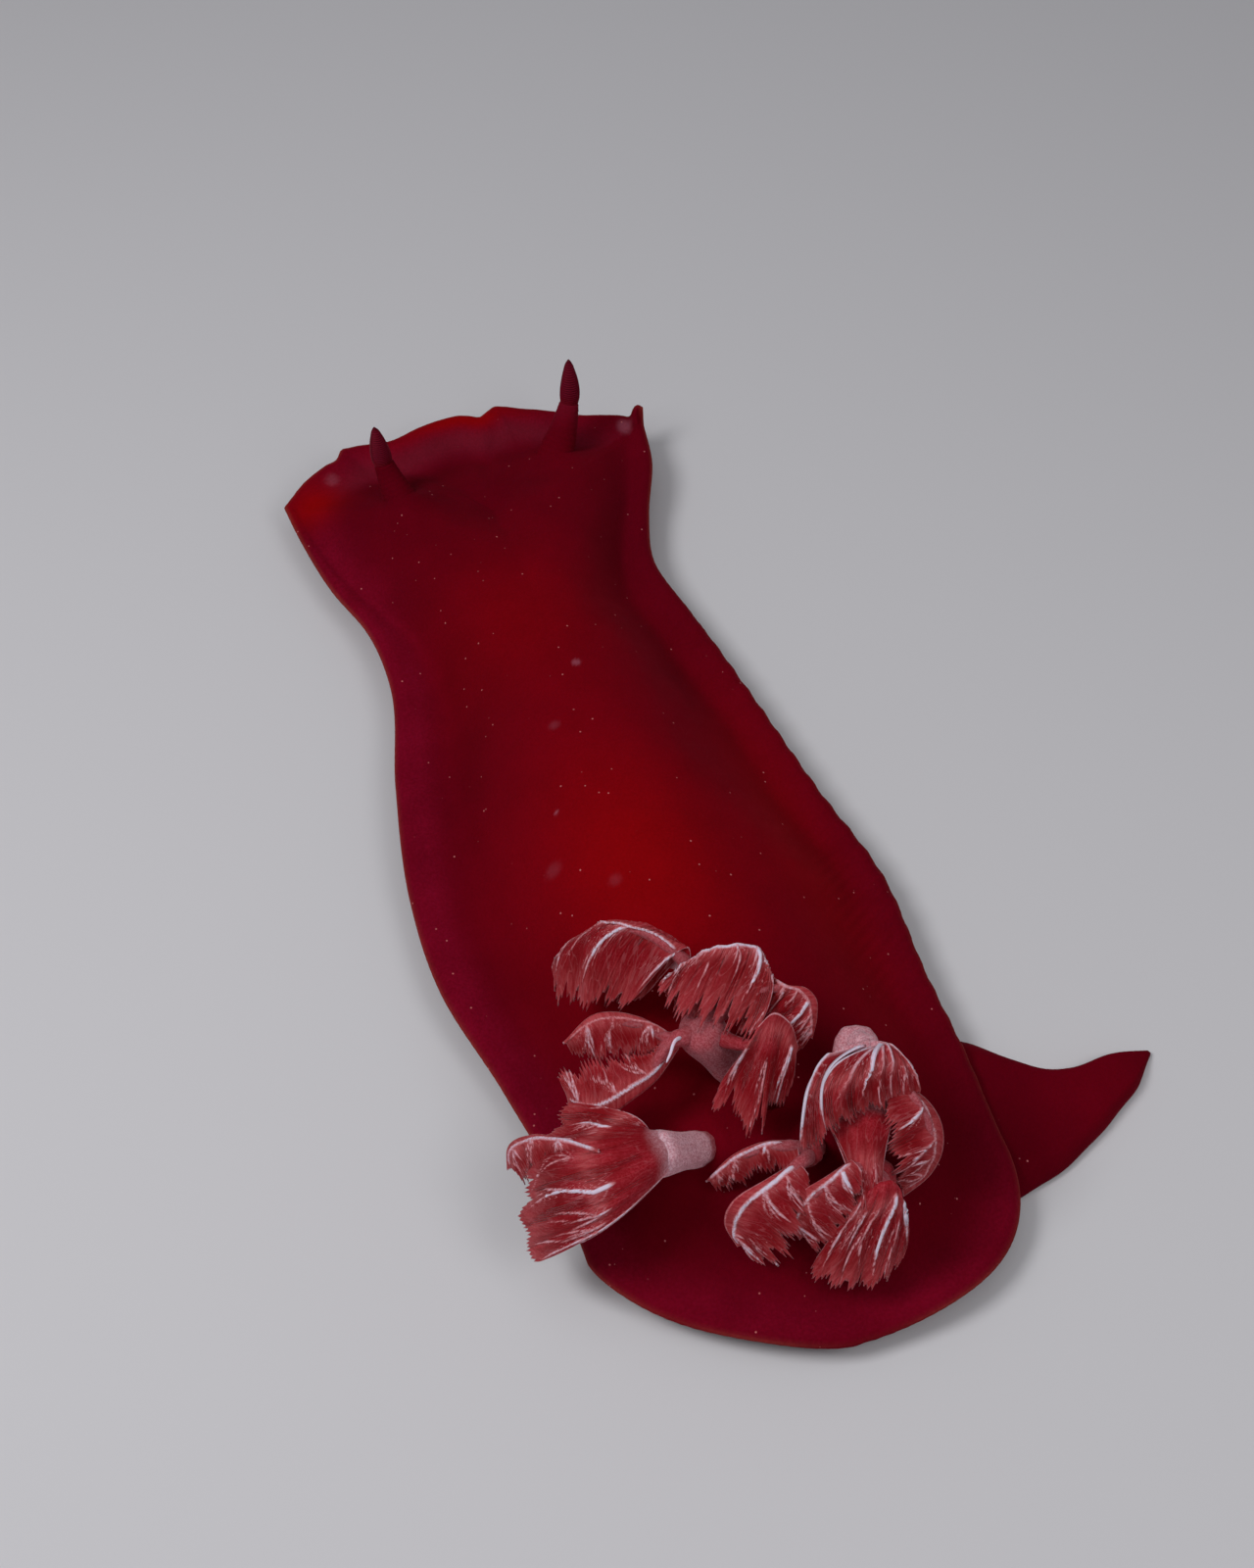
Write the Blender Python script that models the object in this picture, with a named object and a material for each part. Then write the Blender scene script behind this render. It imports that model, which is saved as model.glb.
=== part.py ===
"""Spanish dancer nudibranch (Hexabranchus sanguineus), a still life-size model.

The animal crawls on a flat floor with its mantle spread.  The head points
along -Y, its left side is +X and Z is up.  The origin lies on the floor
under the middle of the foot.  Sizes below are in millimetres.

A place on the mantle is named by two numbers.  'lap' runs round the body:
0 is the middle of the front edge, positive on the left side and negative on
the right, and both +1 and -1 are the middle of the rear edge.  'reach' runs
from the ridge of the back, 0, to the rim, 1.
"""

import bmesh
import bpy
import numpy as np
from mathutils import Vector

MM = 0.001
GAP = 0.3  # clear space between neighbouring pieces

# Mantle outline: half widths from the body's own axis, at stations down it.
STATION_Y = (-135, -118, -100, -82, -62, -30, 5, 33, 62, 90, 107)
LEFT_HALF_WIDTH = (54, 51.5, 48.3, 44.2, 43.3, 48.5, 55, 54.3, 47, 43.5, 43)
RIGHT_HALF_WIDTH = (50.5, 47.5, 41, 36, 38.5, 44, 50, 55, 54.5, 54.5, 53.5)
LEFT_SKIRT_WIDTH = (4, 5.5, 11, 14.5, 14.5, 15.5, 17, 16.5, 12.5, 11, 10)
RIGHT_SKIRT_WIDTH = (8, 12.5, 14, 13.5, 12.5, 11, 10, 9, 10, 10, 10)

# Front edge, from the right corner to the left one: how far it stands forward
FRONT_X = (-50.5, -46, -34, -22, -8, 4, 20, 32, 40, 48, 54)
FRONT_BULGE = (0, 0, 3.5, 11, 11.8, 13.6, 10.6, 12.2, 8.6, 4.8, 0)
FRONT_MIDDLE_X = -4
VEIL_WIDTH = 16

# Rounded rear end: a superellipse on each side of its middle
REAR_MIDDLE_X = -5
REAR_LENGTH = 34.5
REAR_POWER_LEFT = 1.45
REAR_POWER_RIGHT = 2.25

LAP_CORNER = 0.14  # lap at the front corners
LAP_REAR = 0.80  # lap where the rounded rear starts

# Ridge of the back
RIDGE_Y = (-104, -62, 0, 40, 94)
RIDGE_X = (2, 2, 3, 1, -4)
RIDGE_START_LAP = 0.084
RIDGE_END_LAP = 0.85

# Heights over the floor
BACK_Y = (-104, -90, -60, -20, 20, 60, 85, 94)
BACK_HEIGHT = (21, 25, 29, 33, 35, 33, 30, 28.5)
EDGE_LAP = (-1, -0.8, -0.45, -0.25, -0.14, -0.07, 0, 0.07, 0.14, 0.25, 0.45, 0.65, 0.8, 1)
RIM_HEIGHT = (9, 10.5, 12, 12, 14, 15.5, 16, 16, 12, 12, 12, 11.5, 10, 9)
VALLEY_HEIGHT = (8.8, 9.2, 10, 10.5, 11, 12, 12.5, 12, 10.5, 10, 10, 9.5, 9, 8.8)
BELLY_HEIGHT = 7.0
RIM_THICKNESS = 1.3

# Where the mantle is parted, as laps
NECK_CUT = 0.305
RUMP_CUT = 0.635
SKIRT_CUT = 0.47

# Foot: its middle line bends to the right and runs out as the tail
FOOT_LINE = ((2, -114), (2, -60), (3, 0), (1, 52), (-14, 84), (-42, 96), (-72, 101.5), (-98, 95.3))
FOOT_LENGTH = 290  # along that line
FOOT_AT = (0, 0.04, 0.15, 0.35, 0.55, 0.70, 0.80, 0.86, 0.91, 0.935, 0.97, 1)
FOOT_HALF_WIDTH = (13, 21, 26, 32, 31, 27, 25, 18.5, 10.6, 7.6, 5.0, 0.9)
FOOT_HEIGHT = (6.7, 6.7, 6.7, 6.7, 6.7, 6.7, 6.5, 6.2, 5.8, 5.5, 4.6, 3.0)
FOOT_CUTS = (0.0, 0.30, 0.545, 0.77, 1.0)
FOOT_NAMES = ("foot_front", "foot_middle", "foot_rear", "tail")

HEAD_CENTRE = (0, -120.5, 4.2)
HEAD_HALF_SIZE = (14.5, 6.0, 2.4)
TENTACLE_ROOT = (15.2, -119.5, 4.6)
TENTACLE_LENGTH = 22
TENTACLE_SPREAD = 15
TENTACLE_THICKNESS = 1.6

# Rhinophores: foot of the stalk on the back, then the club's tip
RHINOPHORES = {
    "left": ((24, -114.3, 19.0), (28.6, -124.5, 41)),
    "right": ((-21.6, -124.6, 16.0), (-29, -134, 41)),
}
STALK_RADIUS = 2.7
CLUB_RADIUS = 2.75
STALK_SHARE = 0.54
LEAF_COUNT = 6
COLLAR_RADIUS = 4.8
COLLAR_HEIGHT = 3.2

# Gill plumes: foot and top of the stalk, its radius, then each frond as
# (middle and tip of its rib, widths and falls of its two sides)
GILL_PLUMES = {
    "gill_plume_left": ((12.8, 96, 25.0), (26.5, 101, 37), 4.6, (
        (((31, 92, 41), (41, 78, 28)), (9, 4), (35, 60)),
        (((39, 96, 41), (54, 87, 22)), (12, 5), (35, 60)),
        (((35, 109, 32), (55, 106, 15)), (2, 17), (60, 5)))),
    "gill_plume_front": ((2.2, 83.4, 30), (9.5, 80.5, 46), 4.8, (
        (((8, 68, 51), (18, 54, 54), (32, 52, 28)), (21, 4), (38, 80)),
        (((25, 74, 47), (36, 67, 30)), (9, 5), (50, 60)),
        (((27, 85, 38), (38, 73, 26)), (3, 10), (70, -10)),
        (((4, 70, 57), (-6, 72, 56), (-9, 76, 47)), (3, 18), (80, 50)),
        (((-5, 77, 52), (-13, 85, 48), (-5, 97, 36)), (4, 8), (60, 20)),
        (((-3, 80, 50), (5, 89.5, 42), (9, 98.5, 35)), (9, 3), (20, 60)))),
    "gill_plume_front_right": ((-20.4, 92, 27), (-21, 94.4, 46), 4.6, (
        (((-6, 103, 48), (-2, 111, 43)), (8, 3), (25, 50)),
        (((-11, 103, 49), (-10, 113, 40)), (7, 6), (25, 30)),
        (((-19, 105, 49), (-17, 112, 38)), (7, 7), (35, 35)),
        (((-28, 105, 47), (-29, 109, 39)), (3, 8), (60, 40)))),
    "gill_plume_right": ((-26.5, 99.5, 23), (-27, 105.2, 37), 2.8, (
        (((-31, 113.5, 32), (-24, 119, 24)), (2, 7), (60, 25)),
        (((-26.5, 110.5, 35), (-24, 116.5, 30)), (3, 4), (30, 30)))),
    "gill_plume_rear_left": ((-8.3, 105, 26.6), (-3.7, 110.1, 36), 3.4, (
        (((5, 105, 36), (16, 106, 28)), (7, 3), (40, 70)),
        (((9, 112, 32), (13, 119, 17)), (10, 3), (30, 60)),
        (((2, 118, 30), (5.5, 124, 19)), (2, 5), (40, 40)))),
    "gill_plume_rear": ((-18.6, 110, 23.6), (-17.8, 120, 33), 3.6, (
        (((-12, 116, 36), (-5, 118, 32), (-2, 122, 22)), (7, 3), (35, 50)),
        (((-7, 127, 27), (0, 129, 15)), (9, 7), (30, 40)),
        (((-11, 129, 26), (-10, 135, 14)), (7, 7), (40, 40)),
        (((-20, 130, 28), (-16, 132, 19)), (3, 6), (40, 40)))),
}
FROND_THICKNESS = 0.7
FROND_ROWS = 7
WIDE_SIDE = 6  # a frond side wider than this is bent in two strips
FROND_SWEEP = 0.45
POCKET_CLEARANCE = 0.35
POCKET_DEPTH = 3.0

PAPILLA_BASE = (-2.0, 92.0, 28.6)
PAPILLA_RADIUS = 2.6
PAPILLA_HEIGHT = 3.2


# ---------------------------------------------------------------- curves

def smooth(at, stations, values):
    """Cubic through the stations, its slope at each taken from its neighbours."""
    stations = np.asarray(stations, float)
    values = np.asarray(values, float)
    slopes = np.gradient(values, stations)
    at = np.clip(np.asarray(at, float), stations[0], stations[-1])
    i = np.clip(np.searchsorted(stations, at, side="right") - 1, 0, len(stations) - 2)
    span = stations[i + 1] - stations[i]
    q = (at - stations[i]) / span
    start = (2 * q**3 - 3 * q**2 + 1) * values[i] + (q**3 - 2 * q**2 + q) * span * slopes[i]
    end = (3 * q**2 - 2 * q**3) * values[i + 1] + (q**3 - q**2) * span * slopes[i + 1]
    return start + end


def through(points, at):
    """Smooth curve through 3-D points, by share of its length, 0 to 1."""
    points = np.asarray(points, float)
    steps = np.linalg.norm(np.diff(points, axis=0), axis=1)
    shares = np.concatenate([[0], np.cumsum(steps)]) / steps.sum()
    return np.stack([smooth(at, shares, points[:, axis]) for axis in range(points.shape[1])], -1)


# ---------------------------------------------------------------- mantle

def rim(lap):
    """Outline of the mantle: front edge, two sides, then the rounded rear."""
    lap = np.asarray(lap, float)
    part = np.abs(lap)
    left = lap >= 0
    corner_x = np.where(left, FRONT_X[-1], FRONT_X[0])
    front_x = FRONT_MIDDLE_X + (corner_x - FRONT_MIDDLE_X) * part / LAP_CORNER
    front_y = STATION_Y[0] - smooth(front_x, FRONT_X, FRONT_BULGE)
    side_y = station(lap)
    side_x = np.where(left, smooth(side_y, STATION_Y, LEFT_HALF_WIDTH),
                      -smooth(side_y, STATION_Y, RIGHT_HALF_WIDTH))
    turn = np.clip((part - LAP_REAR) / (1 - LAP_REAR), 0, 1) * np.pi / 2
    power = np.where(left, REAR_POWER_LEFT, REAR_POWER_RIGHT)
    half = np.where(left, LEFT_HALF_WIDTH[-1], -RIGHT_HALF_WIDTH[-1]) - REAR_MIDDLE_X
    rear_x = REAR_MIDDLE_X + half * np.abs(np.cos(turn)) ** (2 / power)
    rear_y = STATION_Y[-1] + REAR_LENGTH * np.sin(turn) ** (2 / power)
    x = np.where(part < LAP_CORNER, front_x, np.where(part < LAP_REAR, side_x, rear_x))
    y = np.where(part < LAP_CORNER, front_y, np.where(part < LAP_REAR, side_y, rear_y))
    return x, y


def station(lap):
    """Station along the body that a lap on its side belongs to."""
    part = (np.abs(lap) - LAP_CORNER) / (LAP_REAR - LAP_CORNER)
    return STATION_Y[0] + (STATION_Y[-1] - STATION_Y[0]) * np.clip(part, 0, 1)


def ridge(lap):
    """Point of the back's ridge from which a lap's line runs out to the rim."""
    part = (np.abs(lap) - RIDGE_START_LAP) / (RIDGE_END_LAP - RIDGE_START_LAP)
    y = RIDGE_Y[0] + (RIDGE_Y[-1] - RIDGE_Y[0]) * np.clip(part, 0, 1)
    return smooth(y, RIDGE_Y, RIDGE_X), y


def skirt_width(lap):
    """Width of the thin outer margin, which is the veil at the front."""
    left = np.asarray(lap) >= 0
    side = np.where(left, smooth(station(lap), STATION_Y, LEFT_SKIRT_WIDTH),
                    smooth(station(lap), STATION_Y, RIGHT_SKIRT_WIDTH))
    corner = np.where(left, LEFT_SKIRT_WIDTH[0], RIGHT_SKIRT_WIDTH[0])
    inward = np.clip(1 - np.abs(lap) / LAP_CORNER, 0, 1)
    veil = corner + (VEIL_WIDTH - corner) * np.sin(inward * np.pi / 2) ** 0.8
    return np.where(np.abs(lap) < LAP_CORNER, veil, side)


def spoke(lap):
    """Ridge point, rim point and the length between them."""
    ridge_x, ridge_y = ridge(lap)
    rim_x, rim_y = rim(lap)
    return ridge_x, ridge_y, rim_x, rim_y, np.hypot(rim_x - ridge_x, rim_y - ridge_y)


def valley_reach(lap):
    return 1 - skirt_width(lap) / spoke(lap)[4]


def mantle_top(lap, reach):
    """Upper surface: a dome from the ridge down to the valley, then up to the rim."""
    ridge_x, ridge_y, rim_x, rim_y, _ = spoke(lap)
    edge = valley_reach(lap)
    valley = smooth(lap, EDGE_LAP, VALLEY_HEIGHT)
    dome = (1 - np.clip(reach / edge, 0, 1) ** 2.3) ** 1.15
    z = valley + (smooth(ridge_y, BACK_Y, BACK_HEIGHT) - valley) * dome
    outward = np.clip((reach - edge) / (1 - edge), 0, 1)
    rise = smooth(lap, EDGE_LAP, RIM_HEIGHT) - valley
    z = z + rise * np.sin(outward * np.pi / 2)
    return np.stack([ridge_x + (rim_x - ridge_x) * reach,
                     ridge_y + (rim_y - ridge_y) * reach, z], -1)


def mantle_under(lap, reach):
    """Underside: flat at belly height, then rising to just under the rim."""
    points = mantle_top(lap, reach)
    edge = valley_reach(lap)
    outward = np.clip((reach - edge) / (1 - edge), 0, 1)
    lip = smooth(lap, EDGE_LAP, RIM_HEIGHT) - RIM_THICKNESS
    points[..., 2] = BELLY_HEIGHT + (lip - BELLY_HEIGHT) * outward**1.2
    return points


# ---------------------------------------------------------------- meshes

def material(name, colour, roughness):
    made = bpy.data.materials.new(name)
    made.use_nodes = True
    shader = made.node_tree.nodes["Principled BSDF"]
    shader.inputs["Base Color"].default_value = (*colour, 1)
    shader.inputs["Roughness"].default_value = roughness
    shader.inputs["Metallic"].default_value = 0
    return made


def node(name, mesh, colour, roughness=0.5, hidden=False):
    """Finishes a bmesh in millimetres as a named object in metres."""
    bmesh.ops.remove_doubles(mesh, verts=mesh.verts, dist=1e-3)
    bmesh.ops.dissolve_degenerate(mesh, edges=mesh.edges, dist=1e-3)
    bmesh.ops.recalc_face_normals(mesh, faces=mesh.faces)
    bmesh.ops.scale(mesh, vec=Vector((MM, MM, MM)), verts=mesh.verts)
    data = bpy.data.meshes.new(name)
    mesh.to_mesh(data)
    mesh.free()
    data.shade_smooth()
    data.set_sharp_from_angle(angle=np.radians(50))
    made = bpy.data.objects.new(name, data)
    data.materials.append(material(name, colour, roughness))
    bpy.context.scene.collection.objects.link(made)
    if hidden:
        made.hide_render = True
        made.display_type = "WIRE"
    return made


def add_grid(mesh, points, closed_across=False, flip=False):
    """Adds a grid of points as quads and gives back its rows of vertices."""
    rows = [[mesh.verts.new(Vector(point)) for point in row] for row in points]
    across = len(rows[0]) if closed_across else len(rows[0]) - 1
    for near, far in zip(rows, rows[1:]):
        for j in range(across):
            k = (j + 1) % len(near)
            corners = (near[j], near[k], far[k], far[j])
            mesh.faces.new(corners[::-1] if flip else corners)
    return rows


def add_wall(mesh, upper, lower):
    for j in range(len(upper) - 1):
        mesh.faces.new((upper[j], lower[j], lower[j + 1], upper[j + 1]))


def slab(upper, lower, folded_start=False, folded_end=False):
    """Closed body between two grids.  A folded end lies against itself, so it
    has no wall: its two halves are the same line and are welded together."""
    mesh = bmesh.new()
    top = add_grid(mesh, upper)
    under = add_grid(mesh, lower, flip=True)
    add_wall(mesh, [row[0] for row in top], [row[0] for row in under])
    add_wall(mesh, [row[-1] for row in top][::-1], [row[-1] for row in under][::-1])
    if not folded_start:
        add_wall(mesh, top[0][::-1], under[0][::-1])
    if not folded_end:
        add_wall(mesh, top[-1], under[-1])
    return mesh


def loft(rings):
    """Closed body through rings of points, with flat ends."""
    mesh = bmesh.new()
    rows = add_grid(mesh, rings, closed_across=True)
    mesh.faces.new(rows[0][::-1])
    mesh.faces.new(rows[-1])
    return mesh


def frames(line):
    """Unit directions along a line, and two unit directions across it."""
    along = np.gradient(line, axis=0)
    along /= np.linalg.norm(along, axis=1)[:, None]
    side = np.cross(along, (0, 0, 1))
    side /= np.linalg.norm(side, axis=1)[:, None]
    return along, side, np.cross(side, along)


def tube(line, radii, sides=10):
    """Closed round body along a line with a radius at each of its points."""
    _, side, over = frames(line)
    turn = np.linspace(0, 2 * np.pi, sides, endpoint=False)[:, None]
    rings = [point + radius * (np.cos(turn) * a + np.sin(turn) * b)
             for point, radius, a, b in zip(line, radii, side, over)]
    return loft(rings)


def unite(body, others):
    """Welds other objects into the body with Boolean unions."""
    for number, other in enumerate(others):
        join = body.modifiers.new(f"union_{number}", "BOOLEAN")
        join.operation = "UNION"
        join.object = other
        join.solver = "MANIFOLD"


def keep_largest(body):
    """Applies the body's modifiers and fills the small hollows left inside it."""
    graph = bpy.context.evaluated_depsgraph_get()
    solid = bpy.data.meshes.new_from_object(body.evaluated_get(graph), depsgraph=graph)
    mesh = bmesh.new()
    mesh.from_mesh(solid)
    waiting = set(mesh.verts)
    islands = []
    while waiting:
        island = {waiting.pop()}
        front = list(island)
        while front:
            near = {edge.other_vert(vertex) for vertex in front for edge in vertex.link_edges}
            front = list(near - island)
            island |= near
        waiting -= island
        islands.append(island)
    islands.sort(key=len)
    for island in islands[:-1]:
        bmesh.ops.delete(mesh, geom=list(island), context="VERTS")
    mesh.to_mesh(solid)
    mesh.free()
    body.modifiers.clear()
    body.data = solid


def carve(body, cutter):
    cut = body.modifiers.new(f"cut_{cutter.name}", "BOOLEAN")
    cut.operation = "DIFFERENCE"
    cut.object = cutter


# ---------------------------------------------------------------- body

LAP_STEPS = np.unique(np.concatenate([
    np.linspace(0, LAP_CORNER, 6), np.linspace(LAP_CORNER, LAP_REAR, 13),
    np.linspace(LAP_REAR, 1, 9), [NECK_CUT, RUMP_CUT, SKIRT_CUT]]).round(4))
LAP_GAP = 0.0007
BACK_SHARES = np.array([0, 0.22, 0.45, 0.65, 0.82, 0.93, 1])
SKIRT_SHARES = np.array([0, 0.3, 0.65, 1])

BACK_RED = (0.42, 0.004, 0.006)
SKIRT_RED = (0.17, 0.003, 0.008)
FOOT_RED = (0.13, 0.002, 0.005)
GILL_RED = (0.45, 0.10, 0.09)


def laps_between(start, end):
    inner = LAP_STEPS[(LAP_STEPS > start + 1e-3) & (LAP_STEPS < end - 1e-3)]
    first = start if start == 0 else start + LAP_GAP
    last = end if end == 1 else end - LAP_GAP
    return np.concatenate([[first], inner, [last]])


def back_grid(surface, laps):
    """Rows across the back, from the left valley over the ridge to the right one."""
    rows = []
    for lap in laps:
        sides = []
        for signed in (lap, -lap if lap else -1e-9):
            limit = valley_reach(signed) - GAP / 2 / spoke(signed)[4]
            sides.append(surface(np.full(len(BACK_SHARES), signed), BACK_SHARES * limit))
        rows.append(np.concatenate([sides[0][::-1], sides[1][1:]]))
    return rows


def build_back():
    made = {}
    for name, start, end in (("back_front", 0, NECK_CUT), ("back_middle", NECK_CUT, RUMP_CUT),
                             ("back_rear", RUMP_CUT, 1)):
        laps = laps_between(start, end)
        body = slab(back_grid(mantle_top, laps), back_grid(mantle_under, laps),
                    folded_start=start == 0, folded_end=end == 1)
        made[name] = node(name, body, BACK_RED)
    return made


def skirt_grid(surface, laps):
    rows = []
    for lap in laps:
        inner = valley_reach(lap) + GAP / 2 / spoke(lap)[4]
        rows.append(surface(np.full(len(SKIRT_SHARES), lap), inner + (1 - inner) * SKIRT_SHARES))
    return rows


def build_skirts():
    front = laps_between(0, LAP_CORNER)
    rear = laps_between(LAP_REAR, 1)
    runs = {
        "veil": np.concatenate([-front[:0:-1], front]),
        "skirt_left_front": laps_between(LAP_CORNER, SKIRT_CUT),
        "skirt_left_rear": laps_between(SKIRT_CUT, LAP_REAR),
        "skirt_rear": np.concatenate([rear, -rear[-2::-1]]),
        "skirt_right_rear": -laps_between(SKIRT_CUT, LAP_REAR)[::-1],
        "skirt_right_front": -laps_between(LAP_CORNER, SKIRT_CUT)[::-1],
    }
    for name, laps in runs.items():
        node(name, slab(skirt_grid(mantle_top, laps), skirt_grid(mantle_under, laps)), SKIRT_RED)


def foot_ring(at):
    """Cross-section of the foot: flat sole, thin edge, and an arched upper side."""
    line = through(FOOT_LINE, np.array([max(at - 0.01, 0), at, min(at + 0.01, 1)]))
    along = line[2] - line[0]
    along /= np.linalg.norm(along)
    half = float(smooth(at, FOOT_AT, FOOT_HALF_WIDTH))
    height = float(smooth(at, FOOT_AT, FOOT_HEIGHT))
    across = np.array([0.90, 0.97, 1.0, 0.93, 0.80, 0.45, 0])
    up = np.array([0, 0.06, 0.26, 0.62, 0.90, 1.0, 1.0])
    across = np.concatenate([across, -across[-2::-1]]) * half
    up = np.concatenate([up, up[-2::-1]]) * height
    side = np.array([along[1], -along[0]])
    return [(*(line[1] + side * a), z) for a, z in zip(across, up)]


def build_foot():
    for name, start, end in zip(FOOT_NAMES, FOOT_CUTS, FOOT_CUTS[1:]):
        share = GAP / 2 / FOOT_LENGTH
        first = start + share if start else start
        last = end - share if end < 1 else end
        steps = 9 if name == "tail" else 6
        node(name, loft([foot_ring(at) for at in np.linspace(first, last, steps + 1)]), FOOT_RED)


def build_head():
    """A low rounded head under the veil, with a slit mouth and two oral lobes."""
    turn = np.linspace(0, 2 * np.pi, 16, endpoint=False)
    rings = []
    for level, size in ((-1, 0.72), (-0.6, 0.93), (0, 1), (0.6, 0.93), (1, 0.72)):
        rings.append([(HEAD_CENTRE[0] + HEAD_HALF_SIZE[0] * size * np.cos(a),
                       HEAD_CENTRE[1] + HEAD_HALF_SIZE[1] * size * np.sin(a),
                       HEAD_CENTRE[2] + HEAD_HALF_SIZE[2] * level) for a in turn])
    head = node("head", loft(rings), SKIRT_RED)
    mouth_y = HEAD_CENTRE[1] - HEAD_HALF_SIZE[1]
    slit = [(mouth_y + 2.6, 0.4), (mouth_y + 1.2, 1.1), (mouth_y - 1, 1.6)]
    rings = [[(half * a, y, HEAD_CENTRE[2] + 0.9 * half * b)
              for a, b in ((3.2, 0), (1.6, 0.8), (-1.6, 0.8), (-3.2, 0), (-1.6, -0.8), (1.6, -0.8))]
             for y, half in slit]
    carve(head, node("mouth_cutter", loft(rings), SKIRT_RED, hidden=True))
    for name, mirror in (("oral_tentacle_left", 1), ("oral_tentacle_right", -1)):
        node(name, oral_tentacle(mirror), SKIRT_RED)


def oral_tentacle(mirror):
    """A fan with a scalloped outer edge, thin at the edge and thick at the root."""
    outward = np.linspace(0, 1, 4)
    fan = np.linspace(-1, 1, 13)
    upper = []
    lower = []
    for q in outward:
        lobes = 1 - 0.13 * q**3 * np.cos(fan * 3 * np.pi) ** 2
        spread = (2.4 + (TENTACLE_SPREAD - 2.4) * q**0.8) * fan
        reach = TENTACLE_LENGTH * q * lobes * np.cos(fan * 0.9) ** 0.6
        heading = np.radians(-24)
        x = TENTACLE_ROOT[0] + reach * np.cos(heading) - 0.35 * spread * np.sin(heading)
        y = TENTACLE_ROOT[1] + reach * np.sin(heading) + 0.5 * spread * np.cos(heading)
        lift = TENTACLE_ROOT[2] + 1.2 * q + 0.5 * q * np.cos(fan * 3 * np.pi)
        half = TENTACLE_THICKNESS / 2 * (1 - 0.45 * q)
        upper.append(np.stack([mirror * x, y, lift + half], -1))
        lower.append(np.stack([mirror * x, y, lift - half], -1))
    return slab(upper, lower)


# ---------------------------------------------------------------- organs

def build_rhinophores(back):
    """A collar and pocket in the back, a stalk standing in it and a leafed club."""
    for side, (base, tip) in RHINOPHORES.items():
        base = np.array(base)
        rise = np.array(tip) - base
        length = np.linalg.norm(rise)
        rise = rise / length
        collar = tube(np.array([base - 6 * rise, base, base + COLLAR_HEIGHT * rise]),
                      (COLLAR_RADIUS + 0.6, COLLAR_RADIUS, STALK_RADIUS + 1.2), 14)
        unite(back, [node(f"collar_{side}", collar, BACK_RED, hidden=True)])
        pocket = tube(np.array([base - POCKET_DEPTH * rise, base + 10 * rise]),
                      (STALK_RADIUS + POCKET_CLEARANCE,) * 2, 14)
        carve(back, node(f"rhinophore_pocket_{side}", pocket, BACK_RED, hidden=True))
        floor = POCKET_DEPTH - GAP
        at = np.array([-floor, 1, 5, 9, STALK_SHARE * length - 1.2, STALK_SHARE * length])
        radii = STALK_RADIUS * np.array([0.97, 0.97, 0.97, 0.95, 0.88, 0.5])
        node(f"rhinophore_stalk_{side}", tube(base + at[:, None] * rise, radii, 12), BACK_RED)
        node(f"rhinophore_club_{side}", club(base, rise, length), SKIRT_RED)


def club(base, rise, length):
    """Pointed club with a row of leaves standing out from it."""
    start = STALK_SHARE * length + GAP
    at = [start]
    radii = [1.4]
    for leaf in range(LEAF_COUNT):
        share = (leaf + 0.5) / LEAF_COUNT
        radius = CLUB_RADIUS * np.sin(np.pi * (0.28 + 0.62 * share)) ** 0.8
        middle = start + (length - start) * 0.86 * (leaf + 0.5) / LEAF_COUNT + 0.3
        at += [middle - 0.35, middle, middle + 0.45]
        radii += [radius * 0.74, radius, radius * 0.76]
    at.append(length)
    radii.append(0.35)
    return tube(base + np.array(at)[:, None] * rise, radii)


def frond(points, widths, falls):
    """Thin leaf along a smooth rib.  Its two sides fall away from the rib by
    their angles and sweep towards its tip."""
    at = np.linspace(0, 1, FROND_ROWS)
    line = through(points, at)
    along, side, _ = frames(line)
    swell = np.clip((at - 0.10) / 0.90, 0, 1) ** 0.85
    width = np.clip(0.10 + 0.90 * np.sin(np.pi * swell) ** 0.65, 0.10, 1)[:, None]
    strips = [np.linspace(0, 1, 3 if wide > WIDE_SIDE else 2) for wide in widths]
    shares = np.concatenate([-strips[0][::-1], strips[1][1:]])
    columns = []
    for across in shares:
        right = int(across > 0)
        fall = np.radians(falls[right])
        out = abs(across) * widths[right] * width
        turn = 1 if right else -1
        columns.append(line + out * (np.cos(fall) * turn * side + FROND_SWEEP * along)
                       - out * np.sin(fall) * np.array([0, 0, 1]))
    middle = np.stack(columns, 1)
    facing = np.cross(np.gradient(middle, axis=1), np.gradient(middle, axis=0))
    facing /= np.linalg.norm(facing, axis=2)[..., None]
    rib = 1 - np.abs(shares) ** 0.8
    stem = np.clip(1 - at * 2.2, 0, 1)[:, None] * 1.1
    half = (FROND_THICKNESS / 2 + rib[None, :] * (0.25 + stem))[..., None]
    return slab(middle + facing * half, middle - facing * half)


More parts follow.
